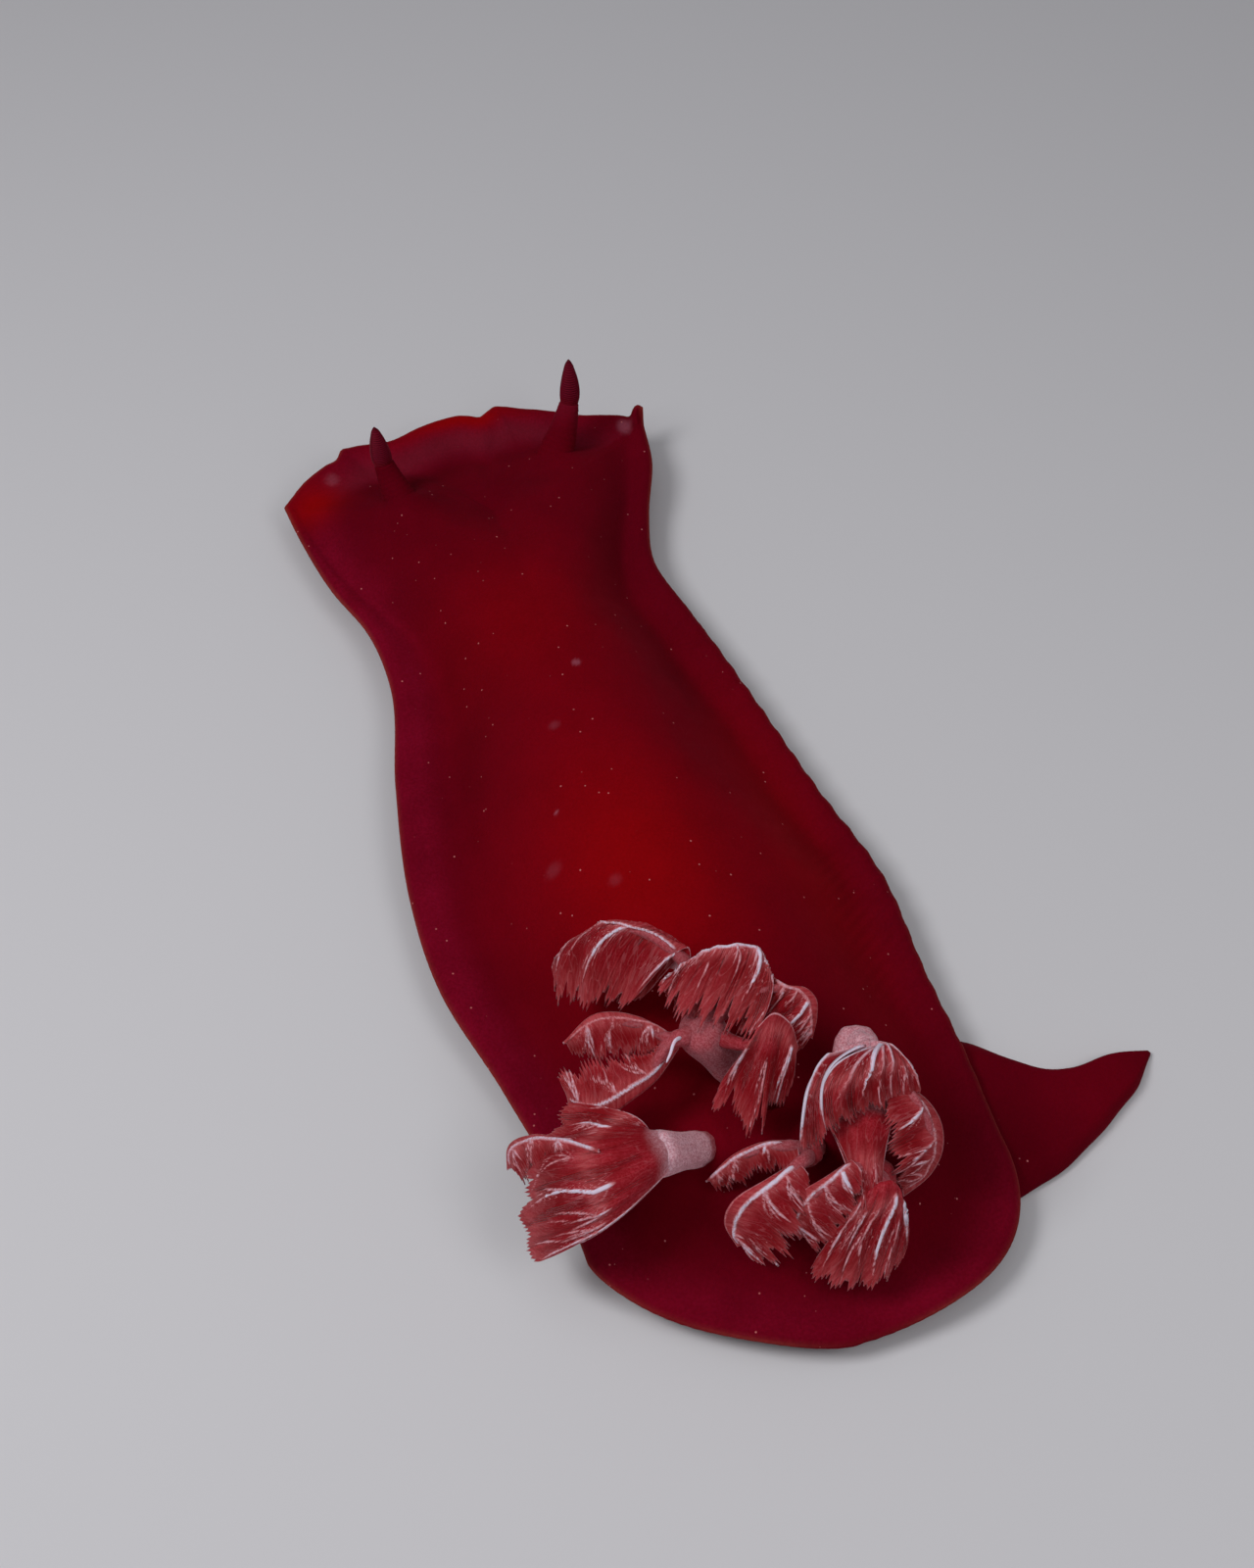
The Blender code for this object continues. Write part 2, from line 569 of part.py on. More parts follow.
def build_gills(back):
    """Plumes that stand in pockets of the back, round the anal papilla."""
    for name, (base, top, radius, fronds) in GILL_PLUMES.items():
        base = np.array(base, float)
        top = np.array(top, float)
        rise = (top - base) / np.linalg.norm(top - base)
        pocket = tube(np.array([base - POCKET_DEPTH * rise, base + 9 * rise]),
                      (radius + POCKET_CLEARANCE,) * 2, 14)
        carve(back, node(f"{name}_pocket", pocket, BACK_RED, hidden=True))
        foot = base - (POCKET_DEPTH - GAP) * rise
        line = foot + np.linspace(0, 1, 5)[:, None] * (top - foot)
        ends = top + np.array([[1.2], [2.2]]) * rise
        line = np.concatenate([line, ends])
        radii = radius * np.array([1, 1, 0.96, 0.93, 0.92, 0.72, 0.35])
        plume = node(name, tube(line, radii, 12), GILL_RED, roughness=0.4)
        leaves = [node(f"{name}_frond_{number}", frond((top - 1.5 * rise, *points), widths, falls),
                       GILL_RED, hidden=True)
                  for number, (points, widths, falls) in enumerate(fronds, 1)]
        unite(plume, leaves)
        keep_largest(plume)


def build_papilla(back):
    """Anal papilla: a short soft tube in the middle of the gill circle."""
    base = np.array(PAPILLA_BASE, float)
    line = base + np.array([[0, 0, -2 + GAP], [0, 0, 1], [0, 0, 2.4], [0, 0, PAPILLA_HEIGHT]]) \
        + np.array([[0, 0, 0], [0.01, 0, 0], [0.02, 0, 0], [0.03, 0, 0]])
    radii = PAPILLA_RADIUS * np.array([1, 1, 0.85, 0.6])
    pocket = tube(base + np.array([[0, 0, -2], [0.01, 0, 6]]),
                  (PAPILLA_RADIUS + POCKET_CLEARANCE,) * 2, 14)
    carve(back, node("anal_pocket", pocket, BACK_RED, hidden=True))
    node("anal_papilla", tube(line, radii, 12), BACK_RED)


def clear_scene():
    for old in list(bpy.data.objects):
        bpy.data.objects.remove(old, do_unlink=True)


def main():
    clear_scene()
    back = build_back()
    build_skirts()
    build_foot()
    build_head()
    build_rhinophores(back["back_front"])
    build_gills(back["back_rear"])
    build_papilla(back["back_rear"])


main()
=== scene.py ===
"""Spanish dancer nudibranch, a still life-size model crawling on a pale floor.

The head points along -Y, the animal's left is +X, Z is up and the floor is at 0.
Tables and shape functions are in millimetres, and a mesh is made in metres.

A place on the mantle has two numbers.  'lap' runs round the body: 0 is the middle
of the front edge, positive on the left and negative on the right, and both +1 and
-1 are the middle of the rear edge.  'reach' runs from the ridge of the back, 0, to
the rim, 1.
"""

from collections import namedtuple

import bmesh
import bpy
import numpy as np
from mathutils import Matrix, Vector


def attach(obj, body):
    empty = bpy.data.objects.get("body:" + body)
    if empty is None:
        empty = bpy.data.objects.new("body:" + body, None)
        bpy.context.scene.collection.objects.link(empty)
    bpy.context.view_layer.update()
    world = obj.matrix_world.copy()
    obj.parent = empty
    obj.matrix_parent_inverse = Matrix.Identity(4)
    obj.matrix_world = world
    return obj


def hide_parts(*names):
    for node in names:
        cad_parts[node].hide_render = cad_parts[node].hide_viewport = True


MM = 0.001
UP = np.array([0.0, 0.0, 1.0])

# ------------ driving sizes

# Mantle outline: half widths from the body's own axis, at stations down it
STATION_Y = (-135, -118, -100, -82, -62, -30, 5, 33, 62, 90, 107)
LEFT_HALF_WIDTH = (54, 52.3, 48.9, 43.7, 42.6, 49.5, 55, 54.9, 48.3, 43.5, 43)
RIGHT_HALF_WIDTH = (50.9, 48, 41, 36.6, 40.2, 45.2, 50.4, 55.5, 54.5, 54.5, 53.5)
LEFT_SKIRT_WIDTH = (4, 5.5, 11, 14.5, 14.5, 15.5, 17, 16.5, 12.5, 11, 10)
RIGHT_SKIRT_WIDTH = (8, 12.5, 14, 13.5, 12.5, 11, 10, 9, 10, 10, 10)
FRONT_X = (-50.5, -46, -40, -34, -26, -22, -18, -14, -10.6, -8.6, -6, -4, -1, 4, 12, 20,
           32, 34.6, 35.9, 40, 48, 54)
FRONT_BULGE = (0, 1.9, 3.1, 4.3, 8.9, 11.2, 12.8, 14, 14.2, 12.8, 12, 12.9, 14, 14.1, 13.2,
               11.1, 12.2, 12, 9.8, 8.4, 4.8, 0)
FRONT_MIDDLE_X = -4
VEIL_WIDTH = 16
REAR_MIDDLE_X = -5
REAR_LENGTH = 34.5
REAR_POWER_LEFT = 1.45
REAR_POWER_RIGHT = 2.6
LAP_CORNER = 0.14
LAP_REAR = 0.8
NUB_LAP = -0.138
FOLD_X = -6.0

# Ridge of the back, and heights over the floor
RIDGE_Y = (-104, -62, 0, 40, 94)
RIDGE_X = (2, 2, 3, 1, -4)
RIDGE_LAPS = (0.084, 0.85)
BACK_Y = (-104, -90, -60, -20, 20, 60, 85, 94)
BACK_HEIGHT = (21, 25, 29, 33, 35, 33, 30, 28.5)
EDGE_LAP = (-1, -0.8, -0.45, -0.25, -0.14, -0.07, 0, 0.07, 0.14, 0.25, 0.45, 0.65, 0.8, 1)
RIM_HEIGHT = (9, 10.5, 12, 12, 14, 15.5, 16, 16, 12, 12, 12, 11.5, 10, 9)
VALLEY_HEIGHT = (8.8, 9.2, 10, 10.5, 11, 12, 12.5, 12, 10.5, 10, 10, 9.5, 9, 8.8)
BELLY_HEIGHT = 7.0
RIM_RADIUS = 0.55

# Foot: its middle line bends right and runs out as the tail.  The shares of its
# section's half width and height run from its edge to its middle.
FOOT_LINE = ((2, -114), (2, -60), (3, 0), (1, 52), (-14, 84), (-42, 96), (-72, 101.5),
             (-98, 93.9))
FOOT_AT = (0, 0.012, 0.035, 0.07, 0.15, 0.35, 0.55, 0.7, 0.8, 0.86, 0.91, 0.935, 0.97, 1)
FOOT_HALF_WIDTH = (5, 12, 17.5, 21.5, 26, 32, 31, 27, 25, 18.5, 10.6, 7.6, 5, 0.6)
FOOT_HEIGHT = (4.5, 5.6, 6.5, 6.7, 6.7, 6.7, 6.7, 6.7, 6.5, 6.2, 5.8, 5.5, 4.4, 1.2)
SECTION_AT = (0, 0.06, 0.12, 0.24, 0.4, 0.7, 1)
SECTION_WIDTH = (0.9, 0.97, 1, 0.93, 0.8, 0.45, 0)
SECTION_HEIGHT = (0, 0.06, 0.26, 0.62, 0.9, 1, 1)
SOLE_HALF_WIDTH = 0.86

HEAD_CENTRE = (0, -120.5, 4.4)
HEAD_HALF_SIZE = (15.5, 7.0, 3.6)
LIP_HALF_WIDTH = 6.5
TENTACLE_ROOT = (12.5, -118.5, 4.6)
TENTACLE_HEADING = np.radians(-24)
TENTACLE_LENGTH = 24.5
TENTACLE_SPREAD = 15
TENTACLE_ROOT_SPREAD = 3.2

# Rhinophores: foot of the stalk on the back, foot of the club, then its tip
RHINOPHORES = {
    "left": ((23.5, -114, 18.6), (27, -122.3, 29.8), (28, -124.6, 41)),
    "right": ((-21.5, -124.6, 15.4), (-28, -131.2, 28), (-29, -134, 41)),
}
STALK_RADIUS = 2.7
STALK_FLARE = 2.6
CLUB_RADIUS = 2.75
CLUB_AT = (0, 0.06, 0.16, 0.34, 0.55, 0.78, 0.93, 1)
CLUB_SHAPE = (0.7, 0.86, 0.98, 1, 0.86, 0.58, 0.32, 0.08)
LAMELLA_COUNT = 24
LAMELLA_ROWS = 9

PAPILLA_BASE = (-2, 92, 28.6)
PAPILLA_HEIGHT = (-3, -1, 0.6, 1.8, 2.6, 3.2, 3.1, 2.2, 1.2)
PAPILLA_RADIUS = 2.6
PAPILLA_SHAPE = (1.1, 1.08, 1, 0.92, 0.86, 0.74, 0.5, 0.34, 0.2)

# Scarlet parts of the back, partly the animal's brighter tone and partly painted
# light: they colour upward faces only, and the last one lifts the shaded right valley.
# Place in plan, half widths across and along, strength
SCARLET_TONE_AND_LIGHT = ((8, -58, 24, 30, 0.45), (6, 28, 26, 44, 0.84), (-38, 20, 12, 60, 0.45))
# Pale blotches on the back: place in plan, radius and strength
BLOTCHES = ((-0.3, -36.8, 1.2, 0.5), (10.9, -18.8, 1.4, 0.14), (22.9, 18.9, 1.9, 0.11),
            (39.2, -138.2, 1.9, 0.22), (-44.6, -133, 2.2, 0.4), (11.4, 30, 1.6, 0.1),
            (17.9, 5.5, 0.6, 0.6))

# Gill plumes.  A stalk is its foot, its top, its radius, and how pale it is at its
# foot and top.  A branch is its course from inside the stalk to the leaf that it
# carries, its first and last radius, and how pale it is, 1 being a stalk's colour
# and 2 a rib's.
STALKS = {
    "left": ((15, 96.6, 24.6), (26.5, 101, 37), 4.5, 1, 1),
    # The front stalk's low paleness paints the shade it stands in under its leaves
    "front": ((2.2, 83.4, 30), (9.5, 80.5, 46), 4.8, 0.4, 0.2),
    "front_right": ((-20.4, 92, 27), (-21, 94.4, 45.2), 4.6, 0, 0.65),
    "right": ((-26.5, 99.5, 23), (-27, 105.2, 37), 2.8, 0.05, 0.05),
    "rear_left": ((-8.3, 105, 26.6), (-4.5, 109.6, 34.5), 2.8, 0.05, 0.05),
    "rear": ((-18.6, 110, 23.6), (-17.8, 118.5, 31), 3.2, 0.05, 0.05),
}
BRANCHES = (
    ("front", ((9, 79, 45.5), (8, 74, 49.5), (7.6, 69.5, 50.8), (9.5, 65.6, 53), (13, 61.5, 54.8),
      (17, 58, 54.8), (22, 55, 52.6)), 2.6, 0.5, 0.15),
    ("front", ((8, 80, 47), (2, 79.5, 49.5), (-4, 79.5, 52), (-9, 81.5, 53.3), (-12.4, 84.5,
      51.5)), 2.4, 0.5, 0.15),
    ("front", ((7, 82, 45), (3.5, 86, 45.5), (0.5, 89, 48), (-1.8, 89.6, 50.6), (-4.2, 90.2,
      50.6)), 2.2, 0.7, 0.05),
    ("front", ((9.5, 80.5, 44.5), (13, 81.5, 46), (16, 82.2, 46.3), (22, 85.8, 43.6), (28, 87,
      41.2)), 2.6, 0.5, 0.15),
    ("front", ((12, 81.3, 45.6), (16, 81.3, 46.5), (21.5, 77.2, 48.1), (29, 73, 46.1)), 1.7, 0.4,
      0.15),
    ("front", ((12.8, 81.7, 46), (16, 83.6, 48.6), (17.7, 85.8, 47.9), (19, 87.2, 47.4)), 0.5,
      0.25, 1.8),
    ("front_right", ((-21, 94, 43.5), (-21.3, 96.6, 47.8), (-22, 99.2, 50.8)), 4, 2, 0.8),
    ("front_right", ((-21.5, 98.6, 50.4), (-17, 97.6, 50.1), (-13.8, 96.9, 48.6)), 1.8, 0.6, 0.7),
    ("front_right", ((-21.5, 98.6, 50.4), (-23.6, 99.6, 51), (-25.4, 99.4, 50.2)), 1.8, 0.8, 0.7),
    ("right", ((-27, 104.5, 35.5), (-26.6, 105.8, 41), (-27.2, 108, 42.8), (-28.9, 111.5, 40.8),
      (-29.6, 115, 36.8), (-28.8, 117.8, 31)), 2.3, 0.5, 0.2),
    ("rear_left", ((-5, 109.2, 33.5), (-2.5, 108.8, 36.6), (3, 107.3, 37.2), (9, 105.8, 33.3)), 2,
      0.5, 0.2),
    ("rear_left", ((-4.8, 109.6, 33.5), (-2.5, 112, 36.6), (4.5, 114.8, 36.2), (11, 115.8, 32.5)),
      2, 0.5, 0.2),
    ("rear", ((-17.8, 117.6, 29), (-16.6, 120, 34), (-15.6, 121.8, 36.4)), 2.8, 1.3, 0.2),
    ("rear", ((-17, 118.4, 31), (-13.5, 118, 37.3), (-9.5, 118.5, 39.8), (-4.5, 119.6, 38.4),
      (-1.2, 119.8, 34.8)), 2.2, 0.5, 0.2),
)
# Each fan is one leaf of a plume: the number and depth of its fringe's lobes, how
# far its ribs lean and how far they bow at the first side and at the last, how
# strongly its crest shows as a rib of its own, the line it rises from unless it
# hangs on its crest alone, its main ribs, the curve of its crest and the curve of
# its free fringe.  A rib is its place across the fan, its strength, and where on
# its line it starts and ends, all 0 to 1.  A dark fan is a lining, darkened all
# over with painted shade.
Fan = namedtuple("Fan", "plume lobes bend line root ribs crest fringe dark", defaults=(0,))
FANS = [Fan(*row) for row in (
    ("left", (6, 2.2), (0.05, -0.09, -0.11), 0,
     ((25.5, 96.2, 36.3), (22.6, 97.6, 38.4), (21.6, 100.5, 38.6), (22.6, 104, 36)),
     ((0, 0.3, 0.1, 0.8), (0.2, 0.9, 0.42, 0.9), (0.38, 0.3, 0.6, 0.9), (0.5, 0.3, 0.55, 0.85),
      (0.7, 1.4, 0.38, 1), (0.86, 0.6, 0.42, 0.8), (0.96, 0.4, 0.45, 0.85), (1, 0.6, 0.05, 1)),
     ((29.5, 92.5, 41), (34.5, 94.5, 42), (40, 98, 43), (41.5, 104, 43), (41, 109.5, 41),
      (42, 112.5, 34)),
     ((40.5, 81.5, 34), (43, 84.5, 31), (49.5, 87, 25), (53, 93.5, 22), (56, 99.5, 17),
      (55.5, 105.5, 13))),
    ("left", (4, 1.6), (0.12, 0.05, 0.05), 0.8, None,
     ((0.3, 0.55, 0.25, 0.8), (0.55, 0.4, 0.25, 0.9), (0.78, 0.45, 0.25, 0.9)),
     ((38, 100.5, 45), (43, 95, 41), (48, 89, 35), (53, 86, 27), (54, 87, 22)),
     ((39.5, 101.5, 43), (44.5, 98.5, 36), (48.5, 96, 29), (51, 93.5, 23), (53, 89.5, 20))),
    ("front", (6, 2.4), (0.08, 0.06, 0.06), 0.8, ((7.5, 68.5, 49),),
     ((0, 0.8, 0.5, 0.95), (0.42, 1, 0.5, 0.96), (0.64, 0.35, 0.5, 0.9), (0.84, 0.4, 0.5, 0.9),
      (1, 0.4, 0.5, 1)),
     ((9, 66, 54), (13, 61.5, 56), (17, 58, 56), (21, 55, 55), (24.5, 53.5, 52), (28, 53.5, 46)),
     ((22.5, 69.5, 41), (26.5, 65.5, 38), (30, 63.5, 36), (32.5, 60, 34), (34, 57, 33),
      (32.5, 52.5, 34))),
    ("front", (7, 2.4), (-0.08, -0.08, 0.12), 0.8, ((8.5, 76.5, 47),),
     ((0, 0.4, 0.5, 0.9), (0.14, 0.7, 0.5, 0.9), (0.3, 0.5, 0.5, 0.8), (0.42, 0.4, 0.5, 0.75),
      (0.58, 0.6, 0.5, 0.8), (0.76, 1.3, 0.5, 0.96), (1, 0.8, 0.5, 1.1)),
     ((11, 71, 53), (7, 69.5, 55), (3.5, 69.5, 56.5), (-1, 70.5, 57.5), (-5.5, 72, 57),
      (-7, 74.5, 56), (-7, 78, 55)),
     ((16.5, 71.5, 51), (15.5, 76.5, 49), (13, 82, 49), (9, 85, 49), (5, 87, 48),
      (1.5, 89.5, 47))),
    ("front", (4, 1.2), (-0.04, 0.06, 0.12), 0.5, None,
     ((0.2, 0.3, 0.3, 0.7), (0.34, 0.3, 0.3, 0.75), (0.52, 1.1, 0.25, 0.85),
      (0.68, 0.35, 0.25, 0.8), (0.8, 0.35, 0.25, 0.8), (0.91, 0.35, 0.25, 0.9)),
     ((-8, 78, 53), (-9, 81.5, 54.5), (-11.5, 83, 54), (-13, 85, 52), (-13, 87, 49),
      (-12.5, 89, 44)),
     ((-6, 79, 50), (-4.5, 82, 47), (-4, 85, 44), (-5, 87, 41), (-7, 88.5, 39),
      (-10.5, 89.5, 38))),
    ("front", (4, 4.5), (0.03, -0.03, 0.02), 0, None,
     ((0.08, 0.5, 0.25, 0.8), (0.5, 0.25, 0.5, 0.9), (0.84, 0.7, 0.3, 0.75)),
     ((4, 91.5, 50), (1, 90, 52), (-2.5, 89, 52), (-6, 90, 50), (-8, 92.5, 46)),
     ((12, 94, 38), (11.5, 97.5, 36), (9, 101.5, 36), (5.5, 104, 35), (0.5, 100, 36),
      (-5, 99, 37))),
    ("front", (6, 1.2), (0.16, 0.03, 0.03), 0.35, None,
     ((0.2, 0.25, 0.3, 0.9), (0.5, 0.3, 0.3, 0.9), (0.75, 0.3, 0.25, 0.9)),
     ((15, 81.5, 47), (21, 77, 49), (29, 72.5, 47), (36.5, 72, 41)),
     ((16, 84, 46), (23, 82.5, 41), (30.5, 77.5, 36), (35.5, 73.5, 36))),
    ("front", (5, 1.4), (0.18, 0.03, 0.03), 0.9, None,
     ((0.3, 0.3, 0.3, 0.8), (0.55, 0.3, 0.3, 0.8), (0.88, 0.5, 0.25, 0.9)),
     ((15, 82.5, 46), (22, 86.5, 44), (27.5, 87.5, 42), (34.5, 87, 38), (39, 81.5, 35)),
     ((16, 81.5, 47), (23.5, 81, 45), (31, 77.5, 42), (37.5, 75, 38), (40, 76, 36))),
    ("front_right", (2, 1.2), (0, 0, 0), 0, ((-14, 96.5, 49), (-21, 98.5, 52)),
     ((0, 1.2, 0, 0.95), (1, 0.8, 0, 0.9)),
     ((-6, 103.5, 49), (-9.5, 103.5, 51)),
     ((-0.5, 113.5, 41), (-4.5, 113.5, 40), (-8, 113, 42))),
    ("front_right", (5, 1.6), (0, -0.13, -0.04), 0, ((-23, 99.5, 52), (-25, 99, 51)),
     ((0, 0.75, 0.02, 0.95), (0.25, 0.5, 0.05, 0.7), (0.48, 1.4, 0, 0.84), (0.62, 0.35, 0.1, 0.75),
      (0.74, 0.5, 0.04, 0.75), (0.88, 0.45, 0.5, 0.95), (1, 0.6, 0, 1)),
     ((-9.5, 103.5, 51), (-14, 105.5, 53), (-18, 105, 53), (-23, 104, 52), (-28.5, 104.5, 48)),
     ((-8, 113, 42), (-13.5, 111, 43), (-18, 110.5, 43), (-23.5, 109.5, 42), (-30, 108, 41))),
    ("right", (4, 1.2), (0.1, 0.08, 0.08), 0.6, None,
     ((0.2, 0.9, 0.3, 0.85), (0.46, 0.8, 0.3, 0.85), (0.6, 0.4, 0.25, 0.7),
      (0.8, 0.35, 0.25, 0.8)),
     ((-26, 106.5, 45), (-28.5, 109.5, 43), (-30, 113, 40), (-30, 116.5, 35), (-28, 118.5, 29),
      (-23, 119.5, 24)),
     ((-19.5, 110, 44), (-18, 114.5, 40), (-18.5, 117.5, 35), (-20, 119, 30), (-21.5, 119, 26),
      (-22.5, 119.5, 24))),
    ("rear_left", (4, 1.4), (0.3, 0.02, 0.02), 0.7, None,
     ((0.28, 0.9, 0.3, 0.6), (0.6, 0.3, 0.25, 0.9), (0.85, 0.35, 0.25, 0.9)),
     ((-2.5, 108.5, 38), (3, 107, 38), (9, 105.5, 34), (15.5, 105, 26)),
     ((0, 114.5, 36), (3.5, 112, 31), (8, 109.5, 26), (14, 107, 22))),
    ("rear_left", (6, 2.2), (0.08, 0.12, 0.12), 1, None,
     ((0.12, 0.3, 0.3, 0.85), (0.3, 0.35, 0.25, 0.8), (0.62, 0.3, 0.5, 0.95),
      (0.85, 0.35, 0.25, 0.9)),
     ((-1, 113, 38), (5, 115, 37), (11.5, 116, 33), (14, 117, 26), (13, 118.5, 20)),
     ((-2.5, 118.5, 36), (0, 123, 30), (3.5, 125.5, 21), (7.5, 124.5, 17), (11.5, 121.5, 16))),
    ("rear", (5, 1.6), (0.1, 0.12, 0.12), 0.7, None,
     ((0.12, 1.5, 0.3, 0.8), (0.3, 0.4, 0.25, 0.9), (0.52, 0.45, 0.25, 0.95),
      (0.8, 0.4, 0.25, 0.9)),
     ((-11, 117.5, 41), (-5.5, 119.5, 40), (-1.5, 119.5, 36), (2, 121, 29), (1, 122.5, 24)),
     ((-11.5, 122.5, 39), (-10.5, 125.5, 32), (-7, 127.5, 25), (-3.5, 126.5, 21),
      (-0.5, 123.5, 20))),
    ("rear", (3, 1), (0.05, 0, 0), 0, ((-8.5, 106, 42.5), (-16, 104, 44), (-25.5, 106.5, 41.5)),
     ((0.3, 0.2, 0.5, 0.9), (0.7, 0.2, 0.5, 0.9)),
     ((-10.5, 116.5, 38), (-14, 118, 40), (-17.5, 119, 38)),
     ((-9, 123, 34), (-11, 126.5, 34), (-16, 125.5, 34))),
    ("rear", (6, 1.8), (0, -0.12, -0.06), 0, ((-14.5, 121, 37), (-17, 122.5, 37)),
     ((0.1, 0.3, 0.3, 0.9), (0.26, 0.35, 0.5, 0.9), (0.42, 0.4, 0.5, 0.9), (0.6, 1.2, 0.4, 1),
      (0.74, 0.4, 0.6, 0.9), (0.9, 2.2, 0.35, 0.72)),
     ((-7.5, 124.5, 32), (-10.5, 125.5, 34), (-14.5, 126, 35), (-18, 126, 34), (-19.5, 129, 29)),
     ((1, 126.5, 16), (0, 130, 15), (-3.5, 133.5, 15), (-7.5, 134.5, 15), (-10, 136, 15),
      (-14, 134, 17), (-18, 132.5, 20))),
)]
# A leaf's teeth and lobes, its ribs and veins, and how deep its lining lies
TOOTH_WIDTH = 0.86
TOOTH_ROWS = 6
TOOTH_DEPTH = 1.9
LOBE_DEPTH = 1.4
COLUMN_WIDTH = 0.55
RIB_HALF_WIDTH = 0.34
VEIN_HALF_WIDTH = 0.23
VEIN_GAP = 1.9
VEIN_BEND = 0.25
LINING_DEPTH = 2.4

# How finely the surfaces are sampled, and the metres at which two points are one
LAPS_HALF = 420
TOP_ROWS = 62
UNDER_ROWS = 18
FOOT_ROWS = 190
TUBE_SIDES = 48
STALK_SIDES = 56
BRANCH_SIDES = 20
WELD = 2e-7
SKIN_WELD = 1e-6

# Colours, as linear red, green and blue
CRIMSON = (0.15, 0.001, 0.008)
# Maroon: the darker random tone, and painted shade on the right margin
MAROON = (0.085, 0.0006, 0.006)
# Scarlet: the back's brighter tone with painted light on it, and light painted through the thin
# rim
SCARLET = (0.3, 0.0016, 0.003)
# Painted sheen of the margins
MARGIN_SHEEN = (0.205, 0.003, 0.018)
# Painted sheen of the veil
VEIL_SHEEN = (0.17, 0.011, 0.024)
BRINK = (0.34, 0.065, 0.045)
BLOTCH = (0.4, 0.12, 0.18)
SPECK = (0.58, 0.17, 0.17)
LEAF_DEEP = (0.088, 0.0008, 0.008)
LEAF_EDGE = (0.17, 0.0036, 0.018)
MEMBRANE_DARK = (0.38, 0.008, 0.017)
MEMBRANE_LIGHT = (0.52, 0.034, 0.056)
FIBRE = (0.28, 0.003, 0.008)
CLOUD = (0.27, 0.003, 0.008)
# Painted shade in a leaf's hollows
HOLLOW_SHADE = (0.24, 0.002, 0.005)
# A leaf's paler fringe, also used for a painted highlight along its crest
FRINGE_AND_CREST_HIGHLIGHT = (0.62, 0.12, 0.13)
HAIR = (0.8, 0.32, 0.36)
STALK_DARK = (0.68, 0.28, 0.34)
STALK_LIGHT = (0.95, 0.58, 0.66)
# Rib colours also paint the crest line and leaf outlines, partly painted sheen
RIB_DARK = (0.74, 0.28, 0.32)
RIB_LIGHT = (0.93, 0.76, 0.95)
SKIN_SHEEN = (0.8, 0.08, 0.12)
GILL_SHEEN = (1.0, 0.62, 0.66)
LEAF_OPACITY = 0.87
FLOOR_GREY = (0.72, 0.71, 0.74)
SKY = (0.95, 0.96, 1.0)
SKIN_SCATTER = (1.0, 0.1, 0.08)
GILL_SCATTER = (1.0, 0.32, 0.3)

# Light and camera, in metres and watts: a disk lamp is its place, width and power
LAMPS = {"key": ((0.52, 0.03, 0.75), 0.35, 3.05), "fill": ((-0.2, 0.42, 0.6), 0.3, 0.75),
         "top": ((0.1, 0.25, 1.3), 1.3, 2.3)}
LAMP_AIM = (0, 0, 0.02)
SKY_STRENGTH = 0.16
FLOOR_SIZE = 6
CAMERA_PLACE = (0.09969, 0.30468, 0.43781)
CAMERA_AIM = (-0.008, -0.02, 0.0)


# ------------ curves

def smooth(at, stations, values):
    """Cubic through the stations, its slope at each taken from its neighbours."""
    stations = np.asarray(stations, float)
    values = np.asarray(values, float)
    slopes = np.gradient(values, stations)
    at = np.clip(np.asarray(at, float), stations[0], stations[-1])
    i = np.clip(np.searchsorted(stations, at, side="right") - 1, 0, len(stations) - 2)
    span = stations[i + 1] - stations[i]
    q = (at - stations[i]) / span
    start = (2 * q**3 - 3 * q**2 + 1) * values[i] + (q**3 - 2 * q**2 + q) * span * slopes[i]
    end = (3 * q**2 - 2 * q**3) * values[i + 1] + (q**3 - q**2) * span * slopes[i + 1]
    return start + end


def run_down(line):
    """Length run down a line of points, at each of them."""
    steps = np.linalg.norm(np.diff(line, axis=0), axis=1)
    return np.concatenate([[0], np.cumsum(steps)])


def through(points, at):
    """Smooth curve through points, by share of its length, 0 to 1."""
    points = np.asarray(points, float)
    run = run_down(points)
    return np.stack([smooth(at, run / run[-1], axis) for axis in points.T], -1)


def step(value, low, high):
    """0 below low, 1 above high, and an S-shaped cubic between them."""
    q = np.clip((value - low) / (high - low), 0, 1)
    return q * q * (3 - 2 * q)


def window(value, low, full, last_full, high):
    """1 between the middle two bounds, and 0 beyond the outer two."""
    return step(value, low, full) * step(-value, -high, -last_full)


def bell(value, width):
    """Gaussian hump of height 1 with the given half width."""
    return np.exp(-((value / width) ** 2))


def swell(x, y, length, seed):
    """Soft random relief, about -1 to 1: seven plane sine waves of nearly one
    length, with directions and phases drawn from the seed."""
    draw = np.random.default_rng(seed)
    total = np.zeros(np.broadcast(x, y).shape)
    for _ in range(7):
        heading = draw.uniform(0, 2 * np.pi)
        number = 2 * np.pi / (length * draw.uniform(0.75, 1.4))
        total += np.sin(number * (x * np.cos(heading) + y * np.sin(heading))
                        + draw.uniform(0, 2 * np.pi))
    return total / 4


def unit(vectors, least=0.0):
    """Vectors brought to length 1.  A least length guards those that may be 0."""
    return vectors / (np.linalg.norm(vectors, axis=-1, keepdims=True) + least)


def facing(grid):
    """Unit normals of a grid of points."""
    return unit(np.cross(np.gradient(grid, axis=1), np.gradient(grid, axis=0)), 1e-9)


def turns(count):
    """Angles that part a full turn evenly."""
    return np.linspace(0, 2 * np.pi, count, endpoint=False)


# ------------ meshes

